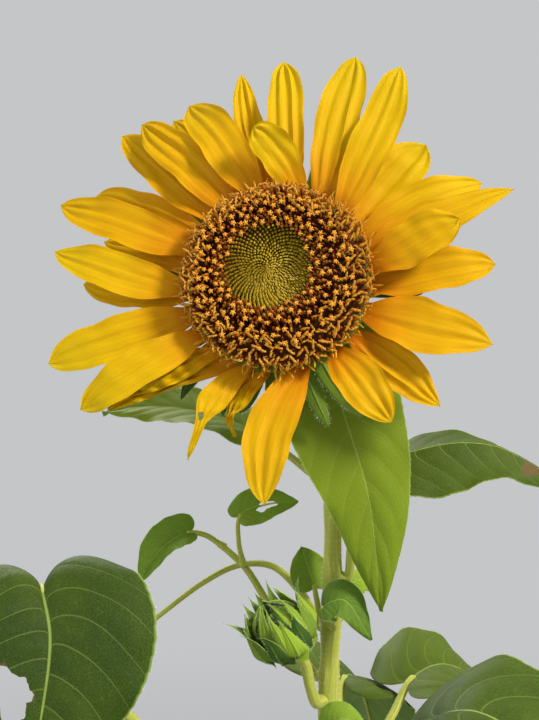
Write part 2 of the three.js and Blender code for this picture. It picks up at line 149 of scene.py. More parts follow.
def addSolid(stock, points, quads, tris, share, flat, tone=0.0, under=0.0, dry=0.0):
    corners = np.concatenate([quads[:, [0, 1, 2]], quads[:, [0, 2, 3]], tris])
    a, b, c = (points[corners[:, k]] for k in range(3))
    if np.sum(a * np.cross(b, c)) < 0:  # turn an inside out solid round
        quads, tris = quads[:, ::-1], tris[:, ::-1]
    first = stock["count"]
    spread = [np.broadcast_to(value, len(points)) for value in (tone, under, dry)]
    for layer, values in zip(stockLayers, (points, quads + first, tris + first, share, flat, *spread)):
        stock[layer].append(values)
    stock["count"] += len(points)


def makePiece(name, stock, finish, sharp=55):
    points = np.concatenate(stock["points"]) * mm
    quads, tris = np.concatenate(stock["quads"]), np.concatenate(stock["tris"])
    corners = np.concatenate([quads.ravel(), tris.ravel()])
    starts = np.concatenate([np.arange(len(quads)) * 4, len(quads) * 4 + np.arange(len(tris)) * 3])
    mesh = bpy.data.meshes.new(name)
    mesh.vertices.add(len(points))
    mesh.vertices.foreach_set("co", points.ravel())
    mesh.loops.add(len(corners))
    mesh.loops.foreach_set("vertex_index", corners.astype(np.int32))
    mesh.polygons.add(len(starts))
    mesh.polygons.foreach_set("loop_start", starts.astype(np.int32))
    for layer in ("share", "flat"):
        spots = np.concatenate(stock[layer])[corners]
        mesh.uv_layers.new(name=layer).uv.foreach_set("vector", spots.astype(np.float32).ravel())
    for layer in ("tone", "under", "dry"):
        values = np.concatenate(stock[layer]).astype(np.float32)
        mesh.attributes.new(layer, "FLOAT", "POINT").data.foreach_set("value", values)
    mesh.update(calc_edges=True)
    mesh.validate()
    mesh.shade_smooth()
    mesh.set_sharp_from_angle(angle=math.radians(sharp))
    mesh.materials.append(finish)
    print(name, len(quads) * 2 + len(tris), "triangles")
    return placed(bpy.data.objects.new(name, mesh))


def placed(thing):
    bpy.context.scene.collection.objects.link(thing)
    return thing


def dress(piece, slot, *nodes):
    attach(piece, "root")
    if nodes:
        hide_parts(*nodes)


# A closed thin sheet from rows of points on its front and its back; kept says which cells stay
def addSheet(stock, front, back, share, flat, tone=0.0, kept=None, dry=0.0):
    rows, across = front.shape[:2]
    other = rows * across
    index = np.arange(other).reshape(rows, across)
    cells = np.stack([index[:-1, :-1], index[:-1, 1:], index[1:, 1:], index[1:, :-1]], axis=-1)
    cells = cells.reshape(-1, 4) if kept is None else cells[kept]
    edges = np.concatenate([cells[:, [k, (k + 1) % 4]] for k in range(4)])
    inside = np.isin(edges[:, 0] * other + edges[:, 1], edges[:, 1] * other + edges[:, 0])
    rim = edges[~inside]
    walls = np.stack([rim[:, 1], rim[:, 0], rim[:, 0] + other, rim[:, 1] + other], axis=-1)
    quads = np.concatenate([cells, cells[:, ::-1] + other, walls])
    points = np.concatenate([front.reshape(-1, 3), back.reshape(-1, 3)])
    used, renamed = np.unique(quads, return_inverse=True)
    maps = [np.tile(m.reshape(-1, 2), (2, 1))[used] for m in (share, flat)]
    under = np.repeat([0.0, 1.0], other)[used]
    dried = np.tile(np.broadcast_to(dry, (rows, across)).ravel(), 2)[used]
    none = np.zeros((0, 3), int)
    addSolid(stock, points[used], renamed.reshape(quads.shape), none, *maps, tone, under, dried)


# Faces round rings of points, and a fan at each end to one of two last points
def ringFaces(rings, sides):
    index = np.arange(rings * sides).reshape(rings, sides)
    after = np.roll(index, -1, axis=1)
    quads = np.stack([index[:-1], after[:-1], after[1:], index[1:]], axis=-1).reshape(-1, 4)
    foot, tip = (np.full(sides, rings * sides + k) for k in (0, 1))
    fans = (foot, after[0], index[0]), (tip, index[-1], after[-1])
    return quads, np.concatenate([np.stack(fan, axis=-1) for fan in fans])


# A round limb along rings, with its map mirrored so that it has no seam
def addTube(stock, centres, outs, besides, radii, tone=0.0):
    angle = anglesRound(radii.shape[1])
    ways = outs[:, None] * np.cos(angle)[None, :, None] + besides[:, None] * np.sin(angle)[None, :, None]
    skin = centres[:, None] + ways * radii[..., None]
    runs = np.concatenate([[0], np.cumsum(np.linalg.norm(np.diff(centres, axis=0), axis=1))])
    turned = np.abs(angle)[None] / math.pi
    closing = np.array([[0, 0.5], [1, 0.5]])
    points = np.concatenate([skin.reshape(-1, 3), centres[[0, -1]]])
    share = np.concatenate([paired((runs / runs[-1])[:, None], turned).reshape(-1, 2), closing])
    flat = paired(runs[:, None], turned * math.pi * radii).reshape(-1, 2)
    flat = np.concatenate([flat, closing * [runs[-1], 1]]) / flatUnit
    addSolid(stock, points, *ringFaces(*radii.shape), share, flat, tone)


# Directions square to a limb that turn as little as they can from ring to ring
def ringFrames(ahead):
    out = np.array([1, 0.1, 0])
    outs = []
    for way in ahead:
        out = unit(out - way * np.dot(out, way))
        outs.append(out)
    outs = np.array(outs)
    return outs, np.cross(outs, ahead)


# Short bristles, each a three sided spike
def addBristles(stock, roots, ways, lengths, thick):
    count = len(roots)
    aside = unit(np.cross(ways, rng.normal(size=(count, 3))))
    below = np.cross(ways, aside)
    feet = [roots + thick * (aside * math.cos(a) + below * math.sin(a)) for a in (0, 2.1, 4.2)]
    points = np.stack([*feet, roots + ways * lengths[:, None]], axis=1).reshape(-1, 3)
    first = np.arange(count)[:, None] * 4
    tris = np.concatenate([first + np.array(t) for t in ((0, 1, 3), (1, 2, 3), (2, 0, 3), (0, 2, 1))])
    share = np.tile([[0, 0.5], [0.3, 0.5], [0.6, 0.5], [1, 0.5]], (count, 1)).astype(float)
    addSolid(stock, points, np.zeros((0, 4), int), tris, share, share)


# The output of a node, which can be added, multiplied and so on like a number
class Flow:
    def __init__(self, board, socket):
        self.board = board
        self.socket = socket

    def __add__(self, other):
        return self.board.calc("ADD", self, other)

    def __sub__(self, other):
        return self.board.calc("SUBTRACT", self, other)

    def __rsub__(self, other):
        return self.board.calc("SUBTRACT", other, self)

    def __mul__(self, other):
        return self.board.calc("MULTIPLY", self, other)

    def __truediv__(self, other):
        return self.board.calc("DIVIDE", self, other)

    def __abs__(self):
        return self.board.calc("ABSOLUTE", self)


# Adds nodes to one tree; each call but feed and node gives an output
class Board:
    def __init__(self, tree):
        self.tree = tree

    def feed(self, socket, value):
        if isinstance(value, Flow):
            self.tree.links.new(value.socket, socket)
        else:
            socket.default_value = value

    def node(self, kind, values=None, **settings):
        made = self.tree.nodes.new(kind)
        for key, value in settings.items():
            setattr(made, key, value)
        for key, value in (values or {}).items():
            self.feed(made.inputs[key], value)
        return made

    def add(self, kind, values=None, output=0, **settings):
        return Flow(self, self.node(kind, values, **settings).outputs[output])

    def calc(self, operation, *values, clamp=False):
        return self.add("ShaderNodeMath", dict(enumerate(values)), operation=operation, use_clamp=clamp)

    def between(self, value, low, high, first=0.0, last=1.0):
        inputs = {"Value": value, "From Min": low, "From Max": high, "To Min": first, "To Max": last}
        return self.add("ShaderNodeMapRange", inputs, "Result", interpolation_type="SMOOTHSTEP")

    def blend(self, share, a, b, mode="MIX"):
        colours = ((*value, 1) if isinstance(value, tuple) else value for value in (a, b))
        inputs = dict(zip((0, 6, 7), (share, *colours)))
        return self.add("ShaderNodeMix", inputs, 2, data_type="RGBA", blend_type=mode)

    def ramp(self, value, stops):
        made = self.node("ShaderNodeValToRGB", {"Fac": value})
        bands = made.color_ramp.elements
        while len(bands) < len(stops):
            bands.new(0.5)
        for band, (at, colour) in zip(bands, stops):
            band.position = at
            band.color = (*colour, 1)
        return Flow(self, made.outputs["Color"])

    def noise(self, where, scale, detail=3.0, rough=0.5):
        inputs = {"Vector": where, "Scale": scale, "Detail": detail, "Roughness": rough}
        return self.add("ShaderNodeTexNoise", inputs, "Fac")

    def stretched(self, where, along, across):
        return self.add("ShaderNodeMapping", {"Vector": where, "Scale": (along, across, 1)})

    def bump(self, height, strength, depth, **under):
        inputs = {"Height": height, "Strength": strength, "Distance": depth * mm, **under}
        return self.add("ShaderNodeBump", inputs, "Normal")

    def uvMap(self, name):
        return self.add("ShaderNodeUVMap", uv_map=name)

    def attribute(self, name):
        return self.add("ShaderNodeAttribute", output="Fac", attribute_name=name)

    # Along and across a sheet or a limb, from 0 to 1
    def shares(self):
        share = {"Vector": self.uvMap("share")}
        return [self.add("ShaderNodeSeparateXYZ", share, axis) for axis in "XY"]

    def place(self):
        return self.add("ShaderNodeTexCoord", output="Object")


# What the values of a skin set; lit is the share of light that goes into it
skinInputs = {
    "rough": "Roughness", "shine": "Specular IOR Level", "lit": "Subsurface Weight",
    "litDepth": "Subsurface Scale", "litColour": "Subsurface Radius", "sheen": "Sheen Weight",
    "glow": "Emission Color",
}


def newFinish(name, skin):
    made = bpy.data.materials.new(name)
    made.use_nodes = True
    inputs = made.node_tree.nodes["Principled BSDF"].inputs
    for key, value in skin.items():
        inputs[skinInputs[key]].default_value = value
    return made, Board(made.node_tree), inputs


# Petals: orange at the claw, golden along the blade, a little green at the tip, with fine fibres and painted
# shade in the sunken grooves
petalLook = {
    "blade": [
        (0.0, (0.44, 0.115, 0.001)), (0.14, (0.56, 0.25, 0.001)), (0.42, (0.57, 0.35, 0.001)),
        (0.82, (0.55, 0.37, 0.002)), (1.0, (0.52, 0.365, 0.003)),
    ],
    "fibreAndShade": (0.46, 0.19, 0.001),
    "back": (0.50, 0.33, 0.008),
    "warm": (1.0, 0.86, 0.8),
    # grooves is the strength of the painted shade in the grooves between the pleats
    "streaks": 0.2, "grooves": 0.38, "grooveCount": 4.5, "backShare": 0.55, "relief": 0.11, "cloudy": 0.22,
    "linesFade": (0.6, 0.92),  # where the petal narrows
    "skin": {
        "rough": 0.6, "shine": 0.08, "lit": 0.35, "litDepth": 0.6 * mm, "litColour": (1.0, 0.65, 0.03),
    },
}


def petalMaterial(look):
    made, board, inputs = newFinish("sunlitPetal", look["skin"])
    flat, (along, across) = board.uvMap("flat"), board.shares()
    cloudy = board.noise(board.stretched(flat, 1.2, 9), 1.6, 2.0) - 0.5
    colour = board.ramp(along + cloudy * look["cloudy"], look["blade"])
    shown = board.between(along, *look["linesFade"], 1.0, 0.0)
    fibres = board.noise(board.stretched(flat, 0.9, 90), 1.5, 4.0, 0.62)
    streaks = board.between(fibres, 0.5, 0.74) * shown
    turns = abs(across * 2.0 - 1.0) * look["grooveCount"] + cloudy * 0.25
    grooves = board.between(board.calc("PINGPONG", turns, 0.5), 0.0, 0.10, 1.0, 0.0) * shown
    colour = board.blend(streaks * look["streaks"], colour, look["fibreAndShade"])
    # Darker lines along the sunken grooves between the pleats: painted shade of the creases, in the darker
    # fibre colour
    colour = board.blend(grooves * look["grooves"], colour, look["fibreAndShade"])
    warm = board.blend(1.0, colour, look["warm"], "MULTIPLY")
    colour = board.blend(board.between(board.attribute("tone"), 0.0, 1.0), colour, warm)
    colour = board.blend(board.attribute("under") * look["backShare"], colour, look["back"])
    board.feed(inputs["Base Color"], colour)
    board.feed(inputs["Normal"], board.bump(fibres - grooves * 0.7, look["relief"], 0.3))
    return made


# Leaves: pale veins that curve forward, a fine net between them, rough and slightly hairy skin
leafVeins = {"pairs": 8, "forward": 0.30, "curve": 1.2, "slower": 0.35}
# The two greens that each leaf's tone blends between also carry painted light: the lighter one for leaves
# that stood in sun, the darker for leaves in shade
leafLook = {
    "deep": (0.020, 0.045, 0.003),
    "freshAndLit": (0.185, 0.26, 0.010),
    "vein": (0.27, 0.36, 0.075),
    "under": (0.15, 0.24, 0.05),
    "brown": (0.12, 0.075, 0.025),
}
youngLook = {
    "deep": (0.055, 0.125, 0.009),
    "freshAndLit": (0.27, 0.40, 0.028),
    "vein": (0.38, 0.47, 0.12),
    "under": (0.26, 0.37, 0.09),
    "brown": (0.14, 0.09, 0.02),
}
leafSkin = {"rough": 0.6, "shine": 0.14, "lit": 0.15, "litDepth": 1.0 * mm, "litColour": (0.5, 1.0, 0.15)}
leafShares = {
    "net": 0.10, "under": 0.7, "veins": 0.3, "margin": 0.7, "rib": 0.75, "paleSpecks": 0.12, "specks": 0.35,
}


def leafMaterial(name, look, netScale):
    made, board, inputs = newFinish(name, leafSkin)
    calc, between, noise = board.calc, board.between, board.noise
    flat, (along, across) = board.uvMap("flat"), board.shares()
    tone, under, dry = (board.attribute(layer) for layer in ("tone", "under", "dry"))
    centred = across * 2.0 - 1.0
    side = abs(centred)
    swept = calc("POWER", side, leafVeins["curve"]) * leafVeins["forward"]
    start = along - swept * (1.0 - along * leafVeins["slower"])
    offset = calc("GREATER_THAN", centred, 0.0) * 0.5 + 0.02
    wander = (noise(flat, 3.0, 1.0) - 0.5) * 0.22
    turns = start * leafVeins["pairs"] + offset + wander
    lines = calc("PINGPONG", turns, 0.5) / (0.045 - side * 0.028)
    veins = calc("SUBTRACT", 1.0, lines, clamp=True) * between(start, -0.04, 0.0)
    rib = between(side, 0.006, 0.02, 1.0, 0.0) * leafShares["rib"]
    margin = between(side, 0.965, 0.995) * leafShares["margin"]
    pale = calc("MAXIMUM", calc("MAXIMUM", veins * leafShares["veins"], margin), rib)
    cells = {"Vector": flat, "Scale": netScale}
    edge = board.add("ShaderNodeTexVoronoi", cells, "Distance", feature="DISTANCE_TO_EDGE")
    net = between(edge, 0.0, 0.09, 1.0, 0.0)
    # Fine pale specks over the leaf, blended towards the vein colour
    paleSpecks = between(noise(flat, 210.0, 2.0, 0.7), 0.64, 0.74)
    specks = between(noise(flat, 46.0, 2.0), 0.70, 0.76)
    mottle = (noise(flat, 9.0) - 0.5) * 2.2
    withered = between(dry + mottle, 0.5, 0.72) * between(dry, 0.05, 0.3)
    # Share of the lighter green: fine noise plus each leaf's tone, random for lower leaves and bracts, partly
    # painted light for the upper leaves (lighter where sunlit, darker where shaded)
    freshAndLit = calc("ADD", noise(flat, 2.4, 4.0, 0.6) * 0.45, tone * 0.8, clamp=True)
    colour = board.blend(freshAndLit, look["deep"], look["freshAndLit"])
    for share, over in (
        (net * leafShares["net"], "vein"), (under * leafShares["under"], "under"), (pale, "vein"),
        (paleSpecks * leafShares["paleSpecks"], "vein"), (specks * leafShares["specks"], "brown"), (withered, "brown"),
    ):
        colour = board.blend(share, colour, look[over])
    board.feed(inputs["Base Color"], colour)
    rough = board.bump(noise(flat, 190.0, 3.0, 0.7), 0.3, 0.2)
    height = between(edge, 0.0, 0.35) - veins * 0.8
    board.feed(inputs["Normal"], board.bump(height, 0.3, 0.25, Normal=rough))
    return made


# Stems and stalks: pale yellow green with darker streaks, duller lower down
stemLook = {
    "light": (0.48, 0.50, 0.085),
    "dark": (0.31, 0.345, 0.045),
    "old": (0.19, 0.18, 0.06),
    "oldBelow": 0.35,  # metres
    "oldShare": 0.62,
    "skin": {
        "rough": 0.5, "shine": 0.2, "lit": 0.15, "litDepth": 1.5 * mm, "litColour": (0.8, 1.0, 0.25),
        "sheen": 0.08,
    },
}


def stemMaterial(look):
    made, board, inputs = newFinish("hairyStem", look["skin"])
    flat = board.uvMap("flat")
    streaks = board.noise(board.stretched(flat, 3, 70), 1.3, 4.0, 0.6)
    colour = board.blend(board.between(streaks, 0.34, 0.68), look["dark"], look["light"])
    height = board.add("ShaderNodeSeparateXYZ", {"Vector": board.place()}, "Z")
    age = board.between(height, 0.0, look["oldBelow"], look["oldShare"], 0.0)
    mottled = board.between(board.noise(flat, 9.0, 4.0, 0.65), 0.35, 0.65)
    board.feed(inputs["Base Color"], board.blend(age * mottled, colour, look["old"]))
    fine = board.noise(flat, 90.0, 3.0, 0.65)
    board.feed(inputs["Normal"], board.bump(streaks + fine, 0.4, 0.4))
    return made


# Small pieces: name, two colours by each piece's tone, a third at its far end, where that starts,
# roughness, and the share of light that goes in
smallSkin = {"shine": 0.4, "litDepth": 0.6 * mm, "litColour": (1.0, 0.6, 0.2)}
smallLooks = {
    "hair": ("paleHair", (0.62, 0.66, 0.46), (0.78, 0.80, 0.64), (0.85, 0.86, 0.75), 0.3, 0.35, 0.1),
    "floor": ("discFloor", (0.07, 0.019, 0.002), (0.11, 0.033, 0.003), (0.07, 0.019, 0.002), 0.6, 0.9, 0.0),
    "closed": ("closedFloret", (0.07, 0.04, 0.003), (0.15, 0.096, 0.005), (0.5, 0.36, 0.018), 0.3, 0.5, 0.1),
    "bead": ("brownFloret", (0.08, 0.025, 0.002), (0.18, 0.060, 0.004), (0.44, 0.175, 0.010), 0.3, 0.5, 0.1),
    "bud": ("maroonFloret", (0.11, 0.016, 0.002), (0.24, 0.042, 0.003), (0.38, 0.095, 0.006), 0.5, 0.5, 0.1),
    "tube": ("darkTube", (0.016, 0.004, 0.002), (0.035, 0.009, 0.004), (0.05, 0.014, 0.004), 0.7, 0.3, 0.1),
    "star": ("pollenStar", (0.60, 0.21, 0.010), (0.74, 0.31, 0.020), (0.80, 0.40, 0.035), 0.4, 0.8, 0.1),
    "style": ("curledStyle", (0.38, 0.14, 0.006), (0.62, 0.30, 0.012), (0.76, 0.43, 0.024), 0.5, 0.6, 0.1),
    "gold": ("goldScale", (0.58, 0.24, 0.005), (0.70, 0.36, 0.009), (0.66, 0.36, 0.02), 0.6, 0.5, 0.1),
}


def smallMaterial(name, first, second, end, endFrom, rough, lit):
    made, board, inputs = newFinish(name, {**smallSkin, "rough": rough, "lit": lit})
    toned = board.calc("MULTIPLY_ADD", board.attribute("tone"), 0.5, 0.5, clamp=True)
    colour = board.blend(toned, first, second)
    far = board.between(board.shares()[0], endFrom, 1.0)
    board.feed(inputs["Base Color"], board.blend(far, colour, end))
    return made


finishes = {
    "petal": petalMaterial(petalLook),
    "leaf": leafMaterial("roughLeaf", leafLook, 95.0),
    "young": leafMaterial("youngLeaf", youngLook, 140.0),
    "bract": leafMaterial("greenBract", {**youngLook, "deep": (0.030, 0.080, 0.007)}, 150.0),
    "stem": stemMaterial(stemLook),
    **{key: smallMaterial(*look) for key, look in smallLooks.items()},
}
print("finishes made")


# The flower's head faces the viewer's right side a little and looks slightly up
head = {"centre": (-22, -40, 900), "tilt": 14, "turn": 8, "depth": 22, "neckRadius": 6.2, "rim": 39.0}
tilt, turn = math.radians(head["tilt"]), math.radians(head["turn"])
facing = np.array([-math.sin(turn) * math.cos(tilt), -math.cos(turn) * math.cos(tilt), math.sin(tilt)])
rightward = np.array([math.cos(turn), -math.sin(turn), 0])
headAxes = np.stack([rightward, np.cross(facing, rightward), facing])


def fromHead(points):
    return np.array(head["centre"]) + points @ headAxes


# The main stem, from the ground through the neck to the back of the head
stemLine = [
    (0, 0, 0, 12.5), (0, 0, 14, 9.6), (1, 2, 60, 8.6), (5, 7, 150, 8.1), (5, 10, 250, 7.5),
    (-1, 10, 350, 6.9), (-5, 8, 450, 6.3), (-4, 4, 550, 5.6), (-1, 1, 640, 4.9), (1, 0, 710, 4.2),
    (3, 0, 772, 3.9), (3, 2, 830, 3.9), (-1, 6, 862, 4.3), (-9, 3, 882, 5.0),
    (*fromHead(np.array([0, 0, -head["depth"] - 11])), 5.8),
    (*fromHead(np.array([0, 0, -head["depth"] - clear])), head["neckRadius"]),
]
stemSpine = Spine(stemLine)
stemMake = {
    "rings": 360, "sides": 40, "ridges": 9, "ridgeDepth": 0.022, "fineRidges": 23, "fineDepth": 0.012,
    "twist": 2.2, "flare": 0.1, "swell": 0.16, "swellReach": 7.0,
}
nodeHeights = []


# The first two points of a stalk, which leaves the stem's skin square on
def fromStem(height, degrees, radius):
    nodeHeights.append(height)
    steps = np.arange(0, 1, 0.0005)
    t = steps[np.argmax(stemSpine.place(steps)[:, 2] >= height)]
    out = polar(1.0, degrees)
    foot = stemSpine.place(t) + out * (stemSpine.radius(t) + clear)
    return [(*foot, radius), (*(foot + out * 1.2 * radius), radius)]


def addStem(stock, make):
    t = np.linspace(0, 1, make["rings"])
    centres, ahead = stemSpine.place(t), stemSpine.ahead(t)
    angle, down = anglesRound(make["sides"])[None], t[:, None]
    flare = 1 + make["flare"] * np.cos(5 * angle) * np.maximum(1 - 16 * down, 0)
    twist = angle + make["twist"] * down
    ribs = 1 + make["ridgeDepth"] * np.cos(make["ridges"] * twist)
    ribs = ribs + make["fineDepth"] * np.cos(make["fineRidges"] * twist + 9 * down)
    gaps = centres[:, 2:3] - np.array(nodeHeights)[None]
    swell = 1 + make["swell"] * np.max(np.exp(-(gaps / make["swellReach"]) ** 2), axis=1, keepdims=True)
    addTube(stock, centres, *ringFrames(ahead), stemSpine.radius(t)[:, None] * flare * ribs * swell)


# A thin bough of the solids, as a finer limb
boughMake = {"sides": 16, "seat": 2.5, "swell": 0.35, "ridges": 6, "ridgeDepth": 0.035, "twist": 3}


def addBough(stock, points, rings):
    spine, make = Spine(points), boughMake
    t = np.linspace(0, 1, rings)
    centres, ahead = spine.place(t), spine.ahead(t)
    centres[0] -= ahead[0] * make["seat"]  # the foot is seated in what carries it
    foot = 1 + make["swell"] * np.exp(-t[:, None] * 14)
    turns = make["ridges"] * anglesRound(make["sides"])[None] + make["twist"] * t[:, None]
    ribs = 1 + make["ridgeDepth"] * np.cos(turns)
    addTube(stock, centres, *ringFrames(ahead), spine.radius(t)[:, None] * foot * ribs)


# Leaves, by the rule of the solids
leafMake = {
    "thick": 0.5, "teeth": 24, "toothDepth": 0.014, "ripple": 0.013, "quilt": 0.008, "fullBase": 0.29,
    "ribLength": 0.95, "ribRings": 90, "ribSides": 12, "hairGap": 0.75, "hairLength": 0.9,
}


def leafWidth(u):
    width = np.maximum(np.sqrt(u + 0.06) * (1 - u) ** 0.9 / 0.436, 0.03)
    return width * (1 + leafMake["fullBase"] * np.exp(-u / 0.05))


# How far a spot is from the nearest side vein, and where the veins are
def veinLines(u, v):
    start = u - leafVeins["forward"] * np.abs(v) ** leafVeins["curve"] * (1 - leafVeins["slower"] * u)
    turns = start * leafVeins["pairs"] + np.where(v > 0, 0.5, 0.0)
    return np.abs(turns - np.round(turns)) * 2, smoothStep(-0.06, 0.0, start)


def wayAlong(leaf, u):
    return blendTo(np.array(leaf["from"], float), np.array(leaf["to"], float), u[..., None])


def bladePlace(leaf, spine, u, v):
    start, wide = leaf["base"] / spine.spans, leaf["wide"]
    t = start + (1 - start) * u
    length = np.linalg.norm(spine.place(start) - spine.place(1.0))
    ahead = spine.ahead(t)
    normal, side = faceAlong(ahead, wayAlong(leaf, u))
    away = np.abs(v)
    saw = (u * leafMake["teeth"] + 0.3 * np.sign(v)) % 1.0
    teeth = leafMake["toothDepth"] * (saw - 0.6) * smoothStep(0.04, 0.2, u) * away ** 10
    reach = away * wide / 2 * leafWidth(u) * (1 + teeth)
    swept = leaf["lobes"] * length * (1 - u) ** 3 * np.sin(2.58 * away ** 0.75) ** 0.8
    lift = leaf["fold"] * reach - leaf["sag"] * reach * away * 2
    lift = lift + leaf["wave"] * wide * v * v * np.sin(9 * u + 2 * v)
    turns = 5.3 * u + 0.31 * np.sign(v) + leaf["seed"]
    ripple = leafMake["ripple"] * wide * away ** 4 * np.sin(math.tau * turns)
    vein, shown = veinLines(u, v)
    valley = np.exp(-(vein / 0.16) ** 2) * shown * (1 - away ** 6)
    bulge = (np.sin(np.minimum(vein, 1) * math.pi / 2) * shown - 0.5) * (1 - away ** 4)
    bulge = leafMake["quilt"] * wide * bulge * smoothStep(0.0, 0.12, away)
    point = spine.place(t) + side * (np.sign(v) * reach)[..., None] - ahead * swept[..., None]
    return point + normal * (lift + ripple + bulge)[..., None], normal, valley, length, reach


# How far out of an oval a spot of the blade lies, with 1 on its edge
def ovalDepth(oval, u, v):
    atU, atV, wideU, wideV = oval
    return np.hypot((u - atU) / wideU, (v - atV) / wideV)


# The same for an eaten hole, whose edge is ragged
def holeDepth(hole, u, v):
    atU, atV, wideU, wideV = hole
    angle = np.arctan2((v - atV) / wideV, (u - atU) / wideU)
    bites = ((2, 0.2, 2.2), (3, 0.16, 1.0), (7, 0.09, 0.0), (17, 0.04, 0.0))
    return ovalDepth(hole, u, v) / (1 + sum(deep * np.sin(k * angle + turn) for k, deep, turn in bites))


def addBlade(stock, leaf, spine, rows, columns):
    u, v = grid(rows, columns)
    kept, dry = None, 0.0
    if "hole" in leaf:  # cells inside it are left out, and the corners round it are drawn to its edge
        middles = [(m[:-1, :-1] + m[1:, 1:]) / 2 for m in (u, v)]
        kept = holeDepth(leaf["hole"], *middles) > 1
        depth = np.clip(holeDepth(leaf["hole"], u, v), 0.05, None)
        rim = np.zeros(u.shape, bool)
        for down, across in ((0, 0), (0, 1), (1, 0), (1, 1)):
            rim[down:rows - 1 + down, across:columns - 1 + across] |= ~kept
        dry = np.clip(1.3 - depth, 0, 0.6) * 1.6
        u, v = (np.where(rim, at + (m - at) / depth, m) for m, at in zip((u, v), leaf["hole"]))
    if "dryAt" in leaf:
        dry = np.clip(1.2 - 0.7 * ovalDepth(leaf["dryAt"], u, v), 0, 1)
    point, normal, valley, length, reach = bladePlace(leaf, spine, u, v)
    half = leafMake["thick"] * (1 - 0.6 * np.abs(v) ** 8) / 2
    front = point + normal * (half - 0.12 * valley)[..., None]
    back = point - normal * (half + 0.3 * valley)[..., None]
    flat = paired(u * length, np.sign(v) * reach + 60) / flatUnit + leaf["seed"]
    addSheet(stock, front, back, paired(u, v / 2 + 0.5), flat, leaf["tone"], kept, dry)
    return length


# The stalk runs on as the midrib, which stands out below the blade and thins towards the tip
def addRib(stock, leaf, spine):
    start = leaf["base"] / spine.spans
    t = np.linspace(0, start + (1 - start) * leafMake["ribLength"], leafMake["ribRings"])
    rib = np.clip((t - start) / (1 - start), 0, 1)
    ahead = spine.ahead(t)
    outs, besides = faceAlong(ahead, wayAlong(leaf, rib))
    radii = spine.radius(t) * (1 - 0.35 * smoothStep(0, 0.3, rib))
    sunk = radii * smoothStep(0.0, 0.05, rib) * (t > start)
    centres = spine.place(t) - outs * sunk[:, None]
    centres[0] -= ahead[0] * 2.2
    angle = anglesRound(leafMake["ribSides"])[None]
    groove = 1 - 0.2 * np.exp(-(angle / 0.5) ** 2) * (1 - rib[:, None])
    foot = 1 + 0.4 * np.exp(-t[:, None] * 40)
    addTube(stock, centres, outs, -besides, radii[:, None] * groove * foot, leaf["tone"])


def addLeaf(blades, stalks, hairs, leaf, rows, columns):
    spine = Spine(leaf["points"])
    length = addBlade(blades, leaf, spine, rows, columns)
    addRib(stalks, leaf, spine)
    count = int(1.15 * length / leafMake["hairGap"])
    for edge in (-1.0, 1.0):  # pale bristles along the margin
        along = np.sort(rng.uniform(0.0, 0.985, count))
        roots, ways = bladePlace(leaf, spine, along, np.full(count, edge))[:2]
        inner = bladePlace(leaf, spine, along, np.full(count, edge * 0.94))[0]
        outward = roots - inner + ways * rng.normal(0, 0.25, (count, 1)) * 1.5
        outward = unit(outward + rng.normal(0, 0.3, (count, 3)))
        lengths = leafMake["hairLength"] * rng.uniform(0.5, 1.2, count)
        addBristles(hairs, roots - outward * 0.1, outward, lengths, 0.05)


def namedLeaf(name, points, base, wide, fromWay, toWay, tone, **rest):
    seed = (len(name) * 0.37 + points[-1][2] * 0.013) % 1.0
    return {"name": name, "points": points, "base": base, "wide": wide, "from": fromWay, "to": toWay,
            "tone": tone, "seed": seed, "fold": 0.25, "lobes": 0.12, "sag": 0.1, "wave": 0.04, **rest}
